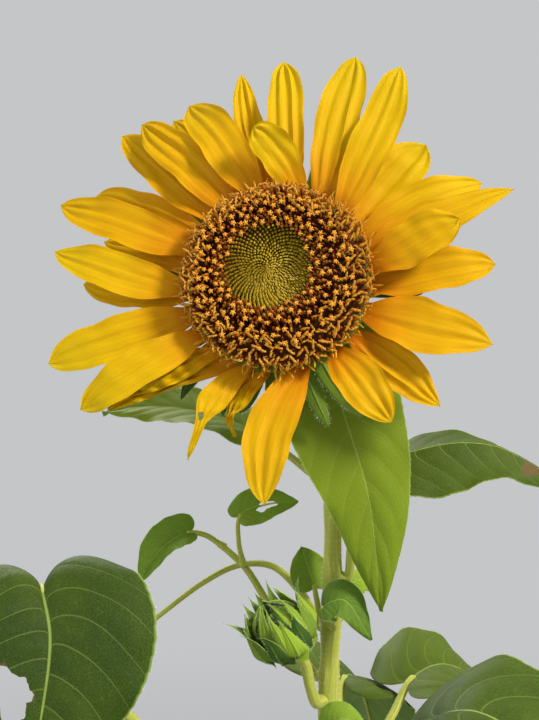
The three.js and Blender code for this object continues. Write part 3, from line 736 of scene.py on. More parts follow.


# Each leaf's tone, the number after its two facing ways, is partly painted light: high for leaves that stood
# in sun such as leaf_front, low for leaves in shade such as leaf_heart
upperLeaves = [
    namedLeaf("leaf_front", [
        *fromStem(768, -14, 2.2), (11, -5, 782, 1.9), (13, -8, 815, 1.7), (9, -10, 846, 1.6),
        (2, -15, 861, 1.5), (6, -24, 845, 1.3), (17, -26, 808, 0.9), (23, -22, 757, 0.5),
    ], 5, 52, (0, -0.8, 0.7), (-0.1, -1, 0.05), 0.75, fold=0.2),
    namedLeaf("leaf_right", [
        *fromStem(800, 20, 2.1), (15, 7, 811, 1.8), (27, 10, 819, 1.6), (44, 10, 825, 1.3),
        (62, 11, 828, 1.1), (80, 12, 826, 0.9), (96, 12, 818, 0.7), (112, 10, 806, 0.5),
    ], 3, 42, (0, -0.55, 0.83), (0.3, -0.5, 0.8), -0.05, fold=-0.5, sag=0, wave=0.06,
        dryAt=(0.82, 0.3, 0.07, 0.4)),
    namedLeaf("leaf_left", [
        *fromStem(812, 160, 2.0), (-16, 9, 822, 1.7), (-27, 15, 830, 1.5), (-45, 22, 838, 1.2),
        (-66, 26, 843, 0.9), (-86, 27, 844, 0.7), (-105, 26, 841, 0.5),
    ], 3, 42, (0.2, -0.35, 0.9), (-0.1, -0.45, 0.9), 0.85, fold=0.3),
    namedLeaf("leaf_heart", [
        *fromStem(655, 213, 3.2), (-24, -16, 664, 2.9), (-62, -34, 692, 2.6), (-100, -44, 738, 2.3),
        (-116, -45, 767, 1.7), (-118, -54, 774, 1.4), (-117, -60, 773, 1.0), (-112, -71, 757, 0.9),
        (-114, -79, 728, 1.1), (-122, -84, 688, 0.6),
    ], 7, 84, (0.1, -0.8, 0.6), (0.1, -1, 0.15), -0.2, lobes=0.19, sag=0.12, hole=(0.60, 0.38, 0.085, 0.26)),
    namedLeaf("leaf_back_right", [
        *fromStem(650, 84, 2.8), (6, 24, 676, 2.4), (8, 40, 698, 2.1), (12, 54, 708, 1.8),
        (20, 70, 702, 1.3), (28, 82, 676, 0.9), (33, 86, 634, 0.6),
    ], 4, 80, (0.2, -0.3, 1), (0.5, 0.3, 0.9), 0.0, lobes=0.2),
    namedLeaf("leaf_far_right", [
        *fromStem(676, 22, 2.6), (20, 12, 682, 2.3), (33, 26, 698, 2.0), (44, 38, 712, 1.8),
        (60, 48, 716, 1.4), (80, 58, 704, 1.0), (98, 66, 672, 0.6),
    ], 4, 62, (-0.2, -0.4, 1), (0.5, -0.1, 0.9), 0.1, lobes=0.16),
    namedLeaf("leaf_low_right", [
        *fromStem(632, -42, 3.1), (16, -18, 652, 2.7), (29, -33, 690, 2.3), (39, -43, 714, 2.0),
        (58, -55, 723, 1.6), (84, -70, 708, 1.1), (108, -82, 668, 0.6),
    ], 4, 92, (-0.1, -0.1, 1), (0.5, -0.5, 0.8), -0.1, lobes=0.22),
    namedLeaf("leaf_left_low", [
        *fromStem(744, 128, 2.2), (-10, 20, 756, 1.9), (-24, 28, 768, 1.7), (-40, 32, 768, 1.6),
        (-56, 35, 760, 1.5), (-76, 37, 745, 1.3), (-94, 39, 730, 1.2), (-112, 42, 716, 1.0),
        (-128, 44, 690, 0.8), (-136, 44, 652, 0.5),
    ], 7, 56, (-0.3, -0.2, 1), (-0.9, -0.4, 0.4), 0.0, lobes=0.16),
]

youngLeaves = [
    namedLeaf("shoot_leaf_near", [
        *fromStem(746, -85, 1.5), (-2, -11, 752, 1.2), (-2, -14, 757, 1.0), (7, -18, 761, 0.8),
        (19, -20, 744, 0.4),
    ], 3, 20, (-0.1, -0.6, 0.8), (0.3, -1, 0.3), -0.1, fold=0.2, lobes=0.02),
    namedLeaf("shoot_leaf_round", [
        *fromStem(750, 140, 1.5), (-4, 8, 757, 1.3), (-5, 11, 762, 1.1), (-8, 12, 771, 0.8),
        (-11, 11, 780, 0.4),
    ], 3, 19, (0.3, -0.8, -0.4), (0.3, -0.9, -0.1), 0.2, fold=0.1),
    namedLeaf("shoot_leaf_pale", [
        *fromStem(748, 40, 1.5), (9, 9, 756, 1.3), (11, 12, 761, 1.1), (17, 15, 764, 0.8),
        (25, 16, 759, 0.4),
    ], 3, 16, (-0.2, -0.5, 0.9), (0.2, -0.7, 0.8), 0.6, fold=0.1),
    namedLeaf("shoot_leaf_low", [
        *fromStem(690, -100, 1.6), (-1, -10, 696, 1.3), (0, -14, 703, 1.1), (6, -18, 709, 0.8),
        (17, -19, 706, 0.4),
    ], 3, 17, (-0.1, -0.8, 0.6), (0.1, -1, 0.4), 0.5, fold=0.2),
    namedLeaf("branch_leaf_end", [
        (-48.3, 21.1, 779.2, 1.4), (-56, 21, 784, 1.3), (-64, 20, 785, 1.2), (-75, 18, 779, 0.9),
        (-87, 16, 761, 0.4),
    ], 2, 20, (0.1, -0.7, 0.7), (-0.4, -0.7, 0.7), 0.1, fold=0.7),
    namedLeaf("branch_leaf_up", [
        (-38.2, 17, 772.3, 1.3), (-40, 16, 782, 1.1), (-39, 16, 794, 1.0), (-27, 17, 799, 0.8),
        (-12, 18, 800, 0.4),
    ], 2, 18, (-0.1, -0.9, 0.5), (0, -0.9, 0.4), 0.3, fold=0.35, hole=(0.5, 0.1, 0.14, 0.32)),
]

# Large leaves of the lower stem, placed by the golden angle
lowLeaves = {"count": 9, "lowest": 95, "highest": 585, "firstAt": 235}


def lowLeaf(i):
    share = i / (lowLeaves["count"] - 1)
    at = lowLeaves["firstAt"] + i * goldenAngle
    stalk = blendTo(92, 84, share) + 8 * vary(i, 1)
    size = 168 - 26 * share - 34 * (1 - share) ** 4 + 8 * vary(i, 2)
    top = 1.1 * (blendTo(0.34, 0.62, share) + 0.08 * vary(i, 3)) * stalk
    droop = 1 + 0.3 * vary(i, 4)
    out, aside = polar(1.0, at), polar(0.12 * vary(i, 5), at + 90)
    height = blendTo(lowLeaves["lowest"], lowLeaves["highest"], share)
    foot, square = fromStem(height, at, blendTo(4.2, 3.4, share))

    def reachTo(stalks, sizes, lift, radius):
        run = stalks * stalk + sizes * size
        flatWay = out * run + aside * run * run / size
        return (foot[0] + flatWay[0], foot[1] + flatWay[1], foot[2] + lift, radius)

    points = [
        foot, square,
        reachTo(0.3, 0, 0.24 / 1.1 * top, 3.3), reachTo(0.64, 0, 0.74 / 1.1 * top, 2.9),
        reachTo(0.95, 0, top, 2.6), reachTo(0.95, 0.3, top + 0.02 * size, 2.0),
        reachTo(0.95, 0.64, top - 0.18 * droop * size, 1.3),
        reachTo(0.95, 0.88, top - 0.5 * droop * size, 0.7),
    ]
    fromWay, toWay = (-0.3 * out[0], -0.3 * out[1], 1), (out[0] + 3 * aside[0], out[1] + 3 * aside[1], 0.6)
    return namedLeaf(f"leaf_{i + 1:02d}", points, 4, 0.86 * size, fromWay, toWay, 0.25 * vary(i, 6),
                     lobes=0.24, sag=0.16)


lowerLeaves = [lowLeaf(i) for i in range(lowLeaves["count"])]

stalks, hairs = newStock(), newStock()
for name, leaves, finish, slot, rows, columns in (
    ("upperLeaves", upperLeaves, "leaf", "leaf", 84, 45),
    ("lowerLeaves", lowerLeaves, "leaf", "leaf", 80, 41),
    ("youngLeaves", youngLeaves, "young", "young_leaf", 44, 25),
):
    blades = newStock()
    for leaf in leaves:
        addLeaf(blades, stalks, hairs, leaf, rows, columns)
    dress(makePiece(name, blades, finishes[finish]), slot, *[leaf["name"] for leaf in leaves])

# The side shoot's stalk and the thin arching branch
budMake = {
    "foot": (-13, -12, 736), "lean": (-0.5, -0.35, 0.8), "size": 34, "count": 34, "outer": 20, "spread": 0.1,
    "hook": 0.27, "bow": -0.3, "thick": 0.8, "hairs": 40, "hairSpan": (0.2, 0.98), "hairLean": (0, 0.3),
    "hairLength": (0.6, 1.3), "hairThick": 0.05, "hairsInOrder": False,
}
budFoot = np.array(budMake["foot"])
budLean = unit(np.array(budMake["lean"], float))
boughs = newStock()
addBough(boughs, [
    *fromStem(712, 225, 2.6), (-7.5, -8, 721, 2.5), (*(budFoot - 7 * budLean), 2.5), (*budFoot, 2.9),
], 60)
addBough(boughs, [
    *fromStem(722, 148, 2.2), (-16, 12, 738, 1.9), (-27, 16, 754, 1.7), (-37, 19, 769, 1.6),
    (-48, 21, 779, 1.5),
], 80)
stem = newStock()
addStem(stem, stemMake)
mainStem = makePiece("mainStem", stem, finishes["stem"])
sideBoughs = makePiece("sideBoughs", boughs, finishes["stem"])
leafStalks = makePiece("leafStalks", stalks, finishes["stem"])
dress(mainStem, "stem", "stem")
dress(sideBoughs, "stem", "shoot_stalk", "branch_left")
dress(leafStalks, "stem")
print("stem and leaves made")


# Petals, anticlockwise from the flower's right, as the solids have them
petalMake = {
    "along": 52, "across": 23, "thick": 0.42, "rowTop": -2.2, "rowStep": 2.1, "gap": 0.45, "seat": 1.6,
    "ridges": 1.6, "ridgeHeight": 0.34, "keel": 0.35, "notch": 0.03, "trough": 0.16, "slant": 0.02,
    "frill": 0.09, "frills": 2.6, "twist": 6, "curl": 1.5, "crumple": 0.12, "sway": 0.05,
}
petalKeys = ("at", "to", "reach", "wide", "row", "belly", "rise", "bow", "blunt")
petalRows = [
    (8, 17, 79, 19, 0, 5, 7, 0.8, 0.6), (20, 23, 107, 17, 1, -3, -8, 1, -0.9),
    (30, 29, 99, 18, 2, -7, -10, -3, 0), (41, 47, 90, 22, 2, -12, -12, 1, 1),
    (50, 62, 107, 18, 0, 2, 0, 0.5, 0.6), (63, 73, 106, 19, 1, 0, -1, 0.9, 0.8),
    (75, 99, 64, 16, 0, 9, 13, 0.7, 1), (86, 91, 106, 16, 1, -2, -6, 0.5, 1),
    (96, 102, 104, 13, 2, -8, -12, 1.3, 0), (105, 118, 94, 19, 0, 3, 1, 0.5, 0.8),
    (113, 123, 98, 14, 2, -10, -16, 0.5, 0.6), (122, 131, 99, 18, 1, -1, -2, 0.5, 0.8),
    (133, 136, 104, 18, 2, -7, -9, 0.5, 0.6), (147, 152, 99, 18, 2, -11, -17, 0.5, 0.5),
    (159, 160, 104, 18, 0, 2, 0, 0.5, 0.4), (168, 164, 84, 13, 2, -8, -14, 0.5, 0),
    (188, 179, 87, 15, 1, -6, -9, 0.5, 0.5), (186, 172, 99, 18, 0, 3, 4, 0.5, 0),
    (201, 200, 104, 20, 1, -1, 1, 0.5, 0.9), (216, 215, 99, 17, 0, 6, 6, 0.5, 0.8),
    (232, 218, 80, 12, 1, -1, -3, 0.9, 0), (247, 217, 90, 13, 2, -5, -8, 1.1, 0),
    (254, 248, 82, 12, 1, 2, 6, 2.6, 0), (265, 253, 69, 10, 2, -5, -6, 1.4, 0),
    (289, 269, 95, 20, 0, 4, 4, 1.25, -0.3), (308, 309, 78, 19, 0, 4, 3, 0.5, -0.2),
    (324, 323, 85, 19, 2, -7, -12, 0.5, -0.6), (340, 343, 93, 23, 1, -1, -2, 0.5, -0.4),
    (-3, 6, 91, 19, 2, -6, -6, 1, 0.3),
]
# By the petal's number: twist in degrees, curl of the tip in millimetres, and what makes it uneven
petalQuirks = {
    1: {"crumple": 0.25}, 3: {"curl": -6}, 4: {"curl": -3, "crumple": 0.2}, 5: {"fold": 1.6, "curl": 3},
    6: {"fold": 1.5}, 7: {"curl": 3, "twist": 14, "crumple": 0.25}, 8: {"fold": 1.6, "curl": -3},
    9: {"fold": 1.5, "twist": -16}, 10: {"curl": -5, "fold": 1.3}, 12: {"fold": 1.5, "curl": -3},
    13: {"fold": 1.6}, 18: {"curl": -3}, 19: {"crumple": 0.25, "curl": -3}, 20: {"crumple": 0.3, "curl": -3},
    21: {"crumple": 1.6, "twist": 30, "curl": -3}, 22: {"crumple": 1.4, "twist": 20, "fold": 1.6},
    23: {"twist": 34, "curl": -7, "crumple": 0.5, "pinch": 0.6, "hole": (0.62, 0.25, 0.035, 0.42)},
    24: {"twist": -50, "crumple": 0.8, "pinch": 0.5, "curl": -4}, 25: {"crumple": 0.2, "fold": 1.3},
    26: {"curl": -5, "fold": 2.0}, 27: {"fold": 1.7}, 28: {"fold": 1.2}, 29: {"curl": -4},
}


def petalWidth(u, blunt):
    claw = 0.26 + 0.74 * np.sin(np.minimum(u / 0.44, 1) * math.pi / 2) ** 0.9
    end = np.clip((u - 0.44) / 0.55, 0, 1)
    rounded = (1 - end ** (2.5 + 1.3 * blunt)) ** (0.68 - 0.1 * blunt)
    point = 0.05 * np.clip((1 - u) / 0.02, 0, 1)
    return np.maximum(claw * np.maximum(rounded, point), 0.012)


def addPetal(stock, number, petal):
    quirk, make = petalQuirks.get(number, {}), petalMake
    height, edge = make["rowTop"] - make["rowStep"] * petal["row"], head["rim"] + make["gap"]
    first = polar(edge - make["seat"], petal["at"], height)  # the claw is seated under the rim
    last = polar(petal["reach"], petal["to"], petal["rise"])
    length = np.linalg.norm(last - polar(edge, petal["at"], height))
    middleAt = blendTo(petal["at"], petal["to"], petal["bow"])
    middle = polar(edge + length * 0.5, middleAt, 2 * petal["belly"] - (height + petal["rise"]) / 2)
    u, v = grid(make["along"], make["across"])
    line, ahead = bezier((first, middle, last), u)
    normal, side = faceAlong(ahead, np.array([0, 0, 1.0]))
    twist = np.radians(quirk.get("twist", make["twist"] * vary(number, 1))) * u[..., None] ** 1.5
    sine, cosine = np.sin(twist), np.cos(twist)
    normal, side = normal * cosine - side * sine, side * cosine + normal * sine
    seed, away = (number * 0.618) % 1.0, np.abs(v)
    sway = make["sway"] * np.sin(math.tau * (1.7 * u + seed)) * np.sign(v)
    sway = 1 + sway + 0.02 * np.sin(math.tau * 4.3 * u + 9 * seed)
    half = petal["wide"] / 2 * petalWidth(u, petal["blunt"]) * sway
    half = half * (1 - quirk.get("pinch", 0) * smoothStep(0.45, 0.7, u))
    body = smoothStep(0.0, 0.3, u) * smoothStep(0.05, 0.75, 2 * half / petal["wide"]) * quirk.get("fold", 1)
    pleats = np.cos(math.tau * (make["ridges"] * v + 0.12 * np.sin(5 * u + 9 * seed)) + 3 * seed)
    waves = np.sin(23 * u + 4 * v + number) * np.sin(9 * u - 6 * v) * smoothStep(0, 0.4, u)
    frills = np.sin(math.tau * (make["frills"] * u + seed + 0.2 * np.sign(v)))
    curl = quirk.get("curl", make["curl"] * vary(number, 2))
    lift = make["trough"] * half * v * v + make["slant"] * half * np.sin(5 * v + 9 * seed)
    lift = lift + make["ridgeHeight"] * pleats * body * (1 - away ** 4) * (0.6 + 0.8 * u)
    lift = lift + make["keel"] * (np.exp(-((away - 0.36) / 0.1) ** 2) - 0.3) * body
    lift = lift + make["frill"] * half * away ** 3 * frills
    lift = lift + quirk.get("crumple", make["crumple"]) * waves + curl * smoothStep(0.6, 1.0, u) ** 1.5
    notch = make["notch"] * length * np.exp(-((away - 0.3) / 0.1) ** 2) * u ** 14
    point = line + side * (v * half)[..., None] + normal * lift[..., None] - ahead * notch[..., None]
    depth = normal * (make["thick"] / 2 * (1 - 0.65 * away ** 8) * (1.3 - 0.5 * u))[..., None]
    flat = paired(u * length, v * half + 30) / flatUnit + seed
    kept = ovalDepth(quirk["hole"], u, v)[:-1, :-1] > 1 if "hole" in quirk else None
    front, back = fromHead(point + depth), fromHead(point - depth)
    addSheet(stock, front, back, paired(u, v / 2 + 0.5), flat, 0.5 + 0.5 * vary(number, 3), kept)


petals = newStock()
for number, row in enumerate(petalRows, 1):
    addPetal(petals, number, dict(zip(petalKeys, row)))
petalNames = [f"petal_{number:02d}" for number in range(1, len(petalRows) + 1)]
dress(makePiece("petals", petals, finishes["petal"]), "petal", *petalNames)
print("petals made")


# A turned body from a profile of radius and height
def addTurned(stock, profile, sides, toPlace, wobble=0.0, steps=4):
    profile = np.array(profile, float)
    runs = np.concatenate([[0], np.cumsum(np.linalg.norm(np.diff(profile, axis=0), axis=1))])
    at = np.unique(np.concatenate([runs, np.linspace(0, runs[-1], len(profile) * steps)]))
    radius, height = (np.interp(at, runs, profile[:, k]) for k in (0, 1))
    lift = height[1:-1, None]
    angle = np.linspace(0, 360, sides, endpoint=False)[None]
    skin = polar(radius[1:-1, None] * (1 + wobble * np.sin(np.radians(angle) * 13 + lift)), angle, lift)
    points = np.concatenate([skin.reshape(-1, 3), [[0, 0, height[0]], [0, 0, height[-1]]]])
    flat = points[:, :2]
    addSolid(stock, toPlace(points), *ringFaces(len(lift), sides), flat / 80 + 0.5, flat / flatUnit + 1)


# A pointed bract: lineAt gives its line and direction, halfAt its half width
def bractPlace(make, lineAt, halfAt, up, u, v):
    line, ahead = lineAt(u)
    normal, side = faceAlong(ahead, up)
    half = halfAt(u)
    ridge = 0.5 * np.exp(-(v / 0.12) ** 2) + 0.18 * np.cos(5 * math.pi * v)
    lift = make["bow"] * half * v * v + ridge * (1 - u) ** 0.5 * smoothStep(0, 0.2, u)
    return line + side * (v * half)[..., None] + normal * lift[..., None], ahead, normal, side, half


def addBract(stock, hairStock, make, lineAt, halfAt, up, length, shift, tone, toPlace, axes):
    u, v = grid(26, 13)
    point, _, normal, _, half = bractPlace(make, lineAt, halfAt, up, u, v)
    depth = normal * (make["thick"] / 2 * (1 - 0.6 * np.abs(v) ** 6) * (1.1 - 0.6 * u))[..., None]
    flat = paired(u * length, v * half + 20) / flatUnit + shift % 1
    addSheet(stock, toPlace(point + depth), toPlace(point - depth), paired(u, v / 2 + 0.5), flat, tone)
    count = make["hairs"]
    for edge in (-1.0, 1.0):
        along = rng.uniform(*make["hairSpan"], count)
        along = np.sort(along) if make["hairsInOrder"] else along
        roots, ahead, normal, side, _ = bractPlace(make, lineAt, halfAt, up, along, np.full(count, edge))
        leaning = make["hairLean"][0] * ahead + make["hairLean"][1] * normal
        ways = unit(edge * side + leaning + rng.normal(0, 0.3, (count, 3)))
        lengths = rng.uniform(*make["hairLength"], count)
        addBristles(hairStock, toPlace(roots), ways @ axes, lengths, make["hairThick"])


# The receptacle: a green dish behind the petals and two rows of pointed bracts
bractMake = {
    "count": 24, "length": 29, "wide": 12, "bow": -0.12, "thick": 0.9, "hairs": 46, "hairSpan": (0.15, 0.97),
    "hairLean": (0.5, 0), "hairLength": (0.8, 1.7), "hairThick": 0.06, "hairsInOrder": True,
}
dishProfile = [(0, -22), (6.2, -22), (15, -19.5), (26, -15.5), (34, -10.5), (39, -5.5), (39, -1.2), (0, -1.2)]


def addHeadBract(stock, hairStock, index):
    row, at, rim = index % 2, index * 360 / bractMake["count"], head["rim"]
    reach = bractMake["length"] * (0.72 + 0.16 * math.sin(index * 5.1))
    middleAt, lastAt = at + 3 * math.sin(index * 2.4), at + 6 * math.sin(index * 1.7)
    knots = (
        polar(rim - 5 - 5 * row, at, -8.5 - 3 * row),
        polar(rim + bractMake["length"] * 0.4, middleAt, -12.5 - 3 * row), polar(rim + reach, lastAt, -21),
    )

    def halfAt(u):
        return bractMake["wide"] / 2 * np.maximum((1 - u) ** 0.75 * (0.8 + 0.6 * u), 0.03)

    addBract(stock, hairStock, bractMake, lambda u: bezier(knots, u), halfAt, np.array([0, 0, 1.0]),
             reach, index * 0.37, 0.5 * vary(index, 4), fromHead, headAxes)


green = newStock()
addTurned(green, dishProfile, 72, fromHead, 0.006)
for i in range(bractMake["count"]):
    addHeadBract(green, hairs, i)
dress(makePiece("receptacle", green, finishes["bract"]), "bract", "receptacle")

# The closed bud: pointed bracts wrapped over a round core
budAside = unit(np.cross([0, 1, 0], budLean))
budAxes = np.stack([budAside, np.cross(budLean, budAside), budLean])
budCore = [(0, 0), (0.1, 0), (0.3, 0.12), (0.36, 0.34), (0.26, 0.6), (0, 0.7)]


def fromBud(points):
    return budFoot + budLean * clear + points @ budAxes


def addBudBract(stock, hairStock, i):
    size, at, tier = budMake["size"], i * goldenAngle, i / budMake["count"]
    if i < budMake["outer"]:
        spread = budMake["spread"] * (1 - tier)
        hook = size * budMake["hook"] * (1 + 0.7 * vary(i, 8)) * (1 - 0.6 * tier)
        wide = 0.165
        shares = (
            (0.1, 0, 0.2 + 0.12 * tier), (0.46 + spread, 0, 0.08 + 0.12 * tier),
            (0.46 + spread, 6, 0.46 + 0.2 * tier), (0.16 + 1.2 * spread, 10, 0.78 + 0.24 * tier),
        )
    else:
        hook, wide = 0.03 * size, 0.13
        shares = ((0.1, 0, 0.3), (0.42, 0, 0.3), (0.42, 8, 0.66), (0.03, 20, 0.86 + 0.05 * vary(i, 9)))
    knots = [polar(out * size, at + turn, high * size) for out, turn, high in shares]

    def lineAt(u):
        line, ahead = bezier(knots, u)
        return line + polar(hook, at) * np.maximum(u[..., None] - 0.62, 0) ** 2 / 0.144, ahead

    def halfAt(u):
        return wide * size * np.maximum((1 - u) ** 1.3 * (0.75 + 2.4 * u), 0.015)

    addBract(stock, hairStock, budMake, lineAt, halfAt, polar(1.0, at, 0.2),
             size, i * 0.41, 0.3 + 0.7 * vary(i, 7), fromBud, budAxes)


budScales = newStock()
addTurned(budScales, np.array(budCore) * budMake["size"], 24, fromBud)
for i in range(budMake["count"]):
    addBudBract(budScales, hairs, i)
dress(makePiece("closedBud", budScales, finishes["bract"]), "bract", "shoot_bud")
print("bracts and bud made")

# The disc: a dark floor under florets that stand in golden angle spirals
discProfile = [
    (0, -0.9), (36.5, -0.9), (37.4, 1.5), (36.8, 2.6), (34, 5.0), (29, 6.2), (22, 5.0), (17, 2.2),
    (10, 1.0), (0, 0.6),
]
discFloor = newStock()
addTurned(discFloor, discProfile, 64, fromHead)
dress(makePiece("discFloor", discFloor, finishes["floor"]), "floret", "disc")

# Round florets that the spirals repeat: height and radius up each, its sides, and its bend
spikes = {
    "closed": ([(0, 0.35), (1.0, 0.74), (2.5, 0.80), (3.8, 0.56), (4.7, 0.22), (5.0, 0.03)], 6, 0.0),
    "bead": ([(0, 0.4), (1.2, 0.8), (2.4, 0.92), (3.3, 0.7), (3.8, 0.3), (4.0, 0.03)], 6, 0.0),
    "bud": ([(0, 0.4), (1.6, 0.46), (3.2, 0.58), (4.3, 0.44), (5.2, 0.22), (5.6, 0.03)], 6, -0.02),
    "tube": ([(0, 0.5), (1.5, 0.6), (3.2, 0.72), (5.0, 0.66), (6.1, 0.5), (6.2, 0.1)], 6, 0.0),
    "star": ([(5.7, 0.45), (6.3, 0.62), (6.8, 0.42), (7.0, 0.05)], 5, 0.0),
    "style": ([(0, 0.38), (2.4, 0.48), (4.2, 0.46), (4.7, 0.36)], 5, 0.0),
}


def addSpike(stock, knots, sides, bend):
    heights, radii = np.array(knots, float).T
    centres = np.stack([bend * heights ** 2, 0 * heights, heights], axis=-1)
    outs, besides = (np.tile(way, (len(knots), 1)) for way in ([1.0, 0, 0], [0, 1.0, 0]))
    addTube(stock, centres, outs, besides, np.repeat(radii[:, None], sides, axis=1))


# Five pointed lobes that spread and turn down round a small mouth
def addStar(stock):
    u, v = grid(5, 3)
    half = 0.44 * (1 - u) ** 0.7 + 0.05
    lift = 6.0 + 0.5 * np.sin(u * 2.6) - 0.5 * u ** 2 + 0.12 * (1 - v * v)
    depth, share = np.array([0, 0, 0.2]), paired(u, v / 2 + 0.5)
    for k in range(5):
        run = 0.3 + (0.85 + 0.1 * (k % 2)) * u
        point = polar(run, 72.0 * k, lift) + polar(1.0, 72.0 * k + 90) * (v * half)[..., None]
        addSheet(stock, point + depth, point - depth, share, share)


# The two arms of a style, each curled back on itself
def addArms(stock):
    a = np.linspace(0, 4.1, 9)
    size = 0.92 * (1 - 0.06 * a)
    radii = np.repeat((0.46 - 0.035 * a)[:, None], 4, axis=1)
    run, lift = 0.8 - size * np.cos(a), 4.6 + 1.15 * size * np.sin(a)
    for way in (-1, 1):
        centres = np.stack([way * run, way * 0.12 * a, lift], axis=-1)
        ahead = unit(np.gradient(centres, axis=0))
        outs = unit(np.cross([0, 1.0, 0], ahead))
        addTube(stock, centres, outs, np.cross(ahead, outs), radii)


# A pointed golden scale, seen at the edge of the disc
def addScale(stock):
    u, v = grid(7, 5)
    half = 0.75 * (1 - u ** 1.6) ** 0.8 + 0.03
    point = np.stack([0.5 * v * v * half + 1.6 * u ** 2, v * half, 7.5 * u], axis=-1)
    depth, share = np.array([0.14, 0, 0]), paired(u, v / 2 + 0.5)
    addSheet(stock, point + depth, point - depth, share, share)


def floretShape(kind):
    stock = newStock()
    if kind == "star":
        addStar(stock)
    if kind in spikes:
        addSpike(stock, *spikes[kind])
    if kind == "style":
        addArms(stock)
    if kind == "gold":
        addScale(stock)
    return makePiece(smallLooks[kind][0], stock, finishes[kind])


# From the disc's middle to its rim: how high the florets stand, and how far from 0.5 they lean outwards
spiralRises = (
    (0.0, 0.06), (0.26, 0.075), (0.44, 0.11), (0.56, 0.19), (0.74, 0.215), (0.88, 0.19), (1.0, 0.10),
)
spiralLeans = (
    (0.0, 0.42), (0.08, 0.2), (0.25, 0.08), (0.42, 0.1), (0.54, 0.22), (0.68, 0.4), (0.8, 0.56), (1.0, 0.9),
)
spiralMake = {"sizes": (0.86, 1.12), "centredFrom": 0.96, "centredRate": 2.2}
spiralInputs = {
    "Floret": "Object", "Finish": "Material", "First": "Int", "Count": "Int", "Spacing": "Float",
    "Radius": "Float", "Off centre": "Vector", "Smallest": "Float", "Largest": "Float", "Untidy": "Float",
    "Sink": "Float", "Lean more": "Float", "Seed": "Int", "Place": "Vector", "Turn": "Rotation",
}


# A tree that stands copies of a floret on a golden angle spiral over the disc
def spiralTree():
    tree = bpy.data.node_groups.new("floretSpiral", "GeometryNodeTree")
    tree.interface.new_socket("Geometry", in_out="OUTPUT", socket_type="NodeSocketGeometry")
    for label, kind in spiralInputs.items():
        tree.interface.new_socket(label, in_out="INPUT", socket_type=f"NodeSocket{kind}")
    board = Board(tree)
    add, calc = board.add, board.calc
    group = board.node("NodeGroupInput")
    given = {label: Flow(board, group.outputs[label]) for label in spiralInputs}

    def chance(low, high, use):
        inputs = {2: low, 3: high, 8: given["Seed"] + use}
        return add("FunctionNodeRandomValue", inputs, 1, data_type="FLOAT")

    def curved(value, points):
        made = board.node("ShaderNodeFloatCurve", {"Value": value})
        knots = made.mapping.curves[0].points
        knots[0].location, knots[1].location = points[0], points[-1]
        for spot in points[1:-1]:
            knots.new(*spot)
        made.mapping.update()
        return Flow(board, made.outputs[0])

    def joined(x, y, z):
        return add("ShaderNodeCombineXYZ", {"X": x, "Y": y, "Z": z})

    index = add("GeometryNodeInputIndex") + given["First"]
    radius = given["Spacing"] * calc("SQRT", index + 0.5)
    share = radius / given["Radius"]
    angle = index * math.radians(goldenAngle)
    cosine, sine = calc("COSINE", angle), calc("SINE", angle)
    height = curved(share, spiralRises) * given["Radius"] - given["Sink"]
    inner = calc("MAXIMUM", (spiralMake["centredFrom"] - share) * spiralMake["centredRate"], 0.0)
    inner = calc("MINIMUM", inner, 1.0)
    moved = add("ShaderNodeVectorMath", {0: given["Off centre"], "Scale": inner}, operation="SCALE")
    spot = joined(cosine * radius, sine * radius, height)
    spot = add("ShaderNodeVectorMath", {0: spot, 1: moved}, operation="ADD")
    dots = add("GeometryNodePoints", {"Count": given["Count"], "Position": spot})
    leaning = (curved(share, spiralLeans) - 0.5) * 2.0 + given["Lean more"] * share
    leans = (
        part * leaning + chance(-1.0, 1.0, use) * given["Untidy"] for part, use in ((cosine, 1), (sine, 2))
    )
    stand = add("FunctionNodeAlignRotationToVector", {"Vector": joined(*leans, 1.0)}, axis="Z")
    spin = add("FunctionNodeAxisAngleToRotation", {"Axis": (0, 0, 1), "Angle": chance(0.0, math.tau, 3)})
    stand = add("FunctionNodeRotateRotation", {"Rotation": stand, "Rotate By": spin}, rotation_space="LOCAL")
    sizes = {"Value": share, "To Min": given["Smallest"], "To Max": given["Largest"]}
    scale = add("ShaderNodeMapRange", sizes) * chance(*spiralMake["sizes"], 4)
    floret = add("GeometryNodeObjectInfo", {"Object": given["Floret"], "As Instance": True}, "Geometry")
    copies = {"Points": dots, "Instance": floret, "Rotation": stand, "Scale": scale}
    shape = add("GeometryNodeInstanceOnPoints", copies)
    toned = {"Geometry": shape, "Name": "tone", "Value": chance(-1.0, 1.0, 5)}
    shape = add("GeometryNodeStoreNamedAttribute", toned, data_type="FLOAT", domain="INSTANCE")
    onHead = {"Geometry": shape, "Translation": given["Place"], "Rotation": given["Turn"]}
    shape = add("GeometryNodeRealizeInstances", {"Geometry": add("GeometryNodeTransform", onHead)})
    shape = add("GeometryNodeSetMaterial", {"Geometry": shape, "Material": given["Finish"]})
    board.node("NodeGroupOutput", {0: shape})
    return tree


headMatrix = Matrix([list(row) for row in headAxes.T]).to_4x4()
headMatrix.translation = Vector(head["centre"]) * mm
discMake = {"Radius": 0.038, "Off centre": (-0.0036, 0.0038, 0), "Place": headMatrix.translation,
            "Turn": headMatrix.to_euler()}
spiral = spiralTree()


def spiralPiece(name, floret, row):
    carrier = placed(bpy.data.objects.new(name + "Carrier", bpy.data.meshes.new(name + "Carrier")))
    modifier = carrier.modifiers.new("spiral", "NODES")
    modifier.node_group = spiral
    values = {"Floret": floret, "Finish": floret.data.materials[0], **discMake, **dict(zip(floretKeys, row))}
    for item in spiral.interface.items_tree:
        if item.in_out == "INPUT":
            modifier[item.identifier] = values[item.name]
    graph = bpy.context.evaluated_depsgraph_get()
    mesh = bpy.data.meshes.new_from_object(carrier.evaluated_get(graph))
    mesh.name = name
    bpy.data.objects.remove(carrier)
    print(name, len(mesh.polygons), "faces")
    dress(placed(bpy.data.objects.new(name, mesh)), "floret")


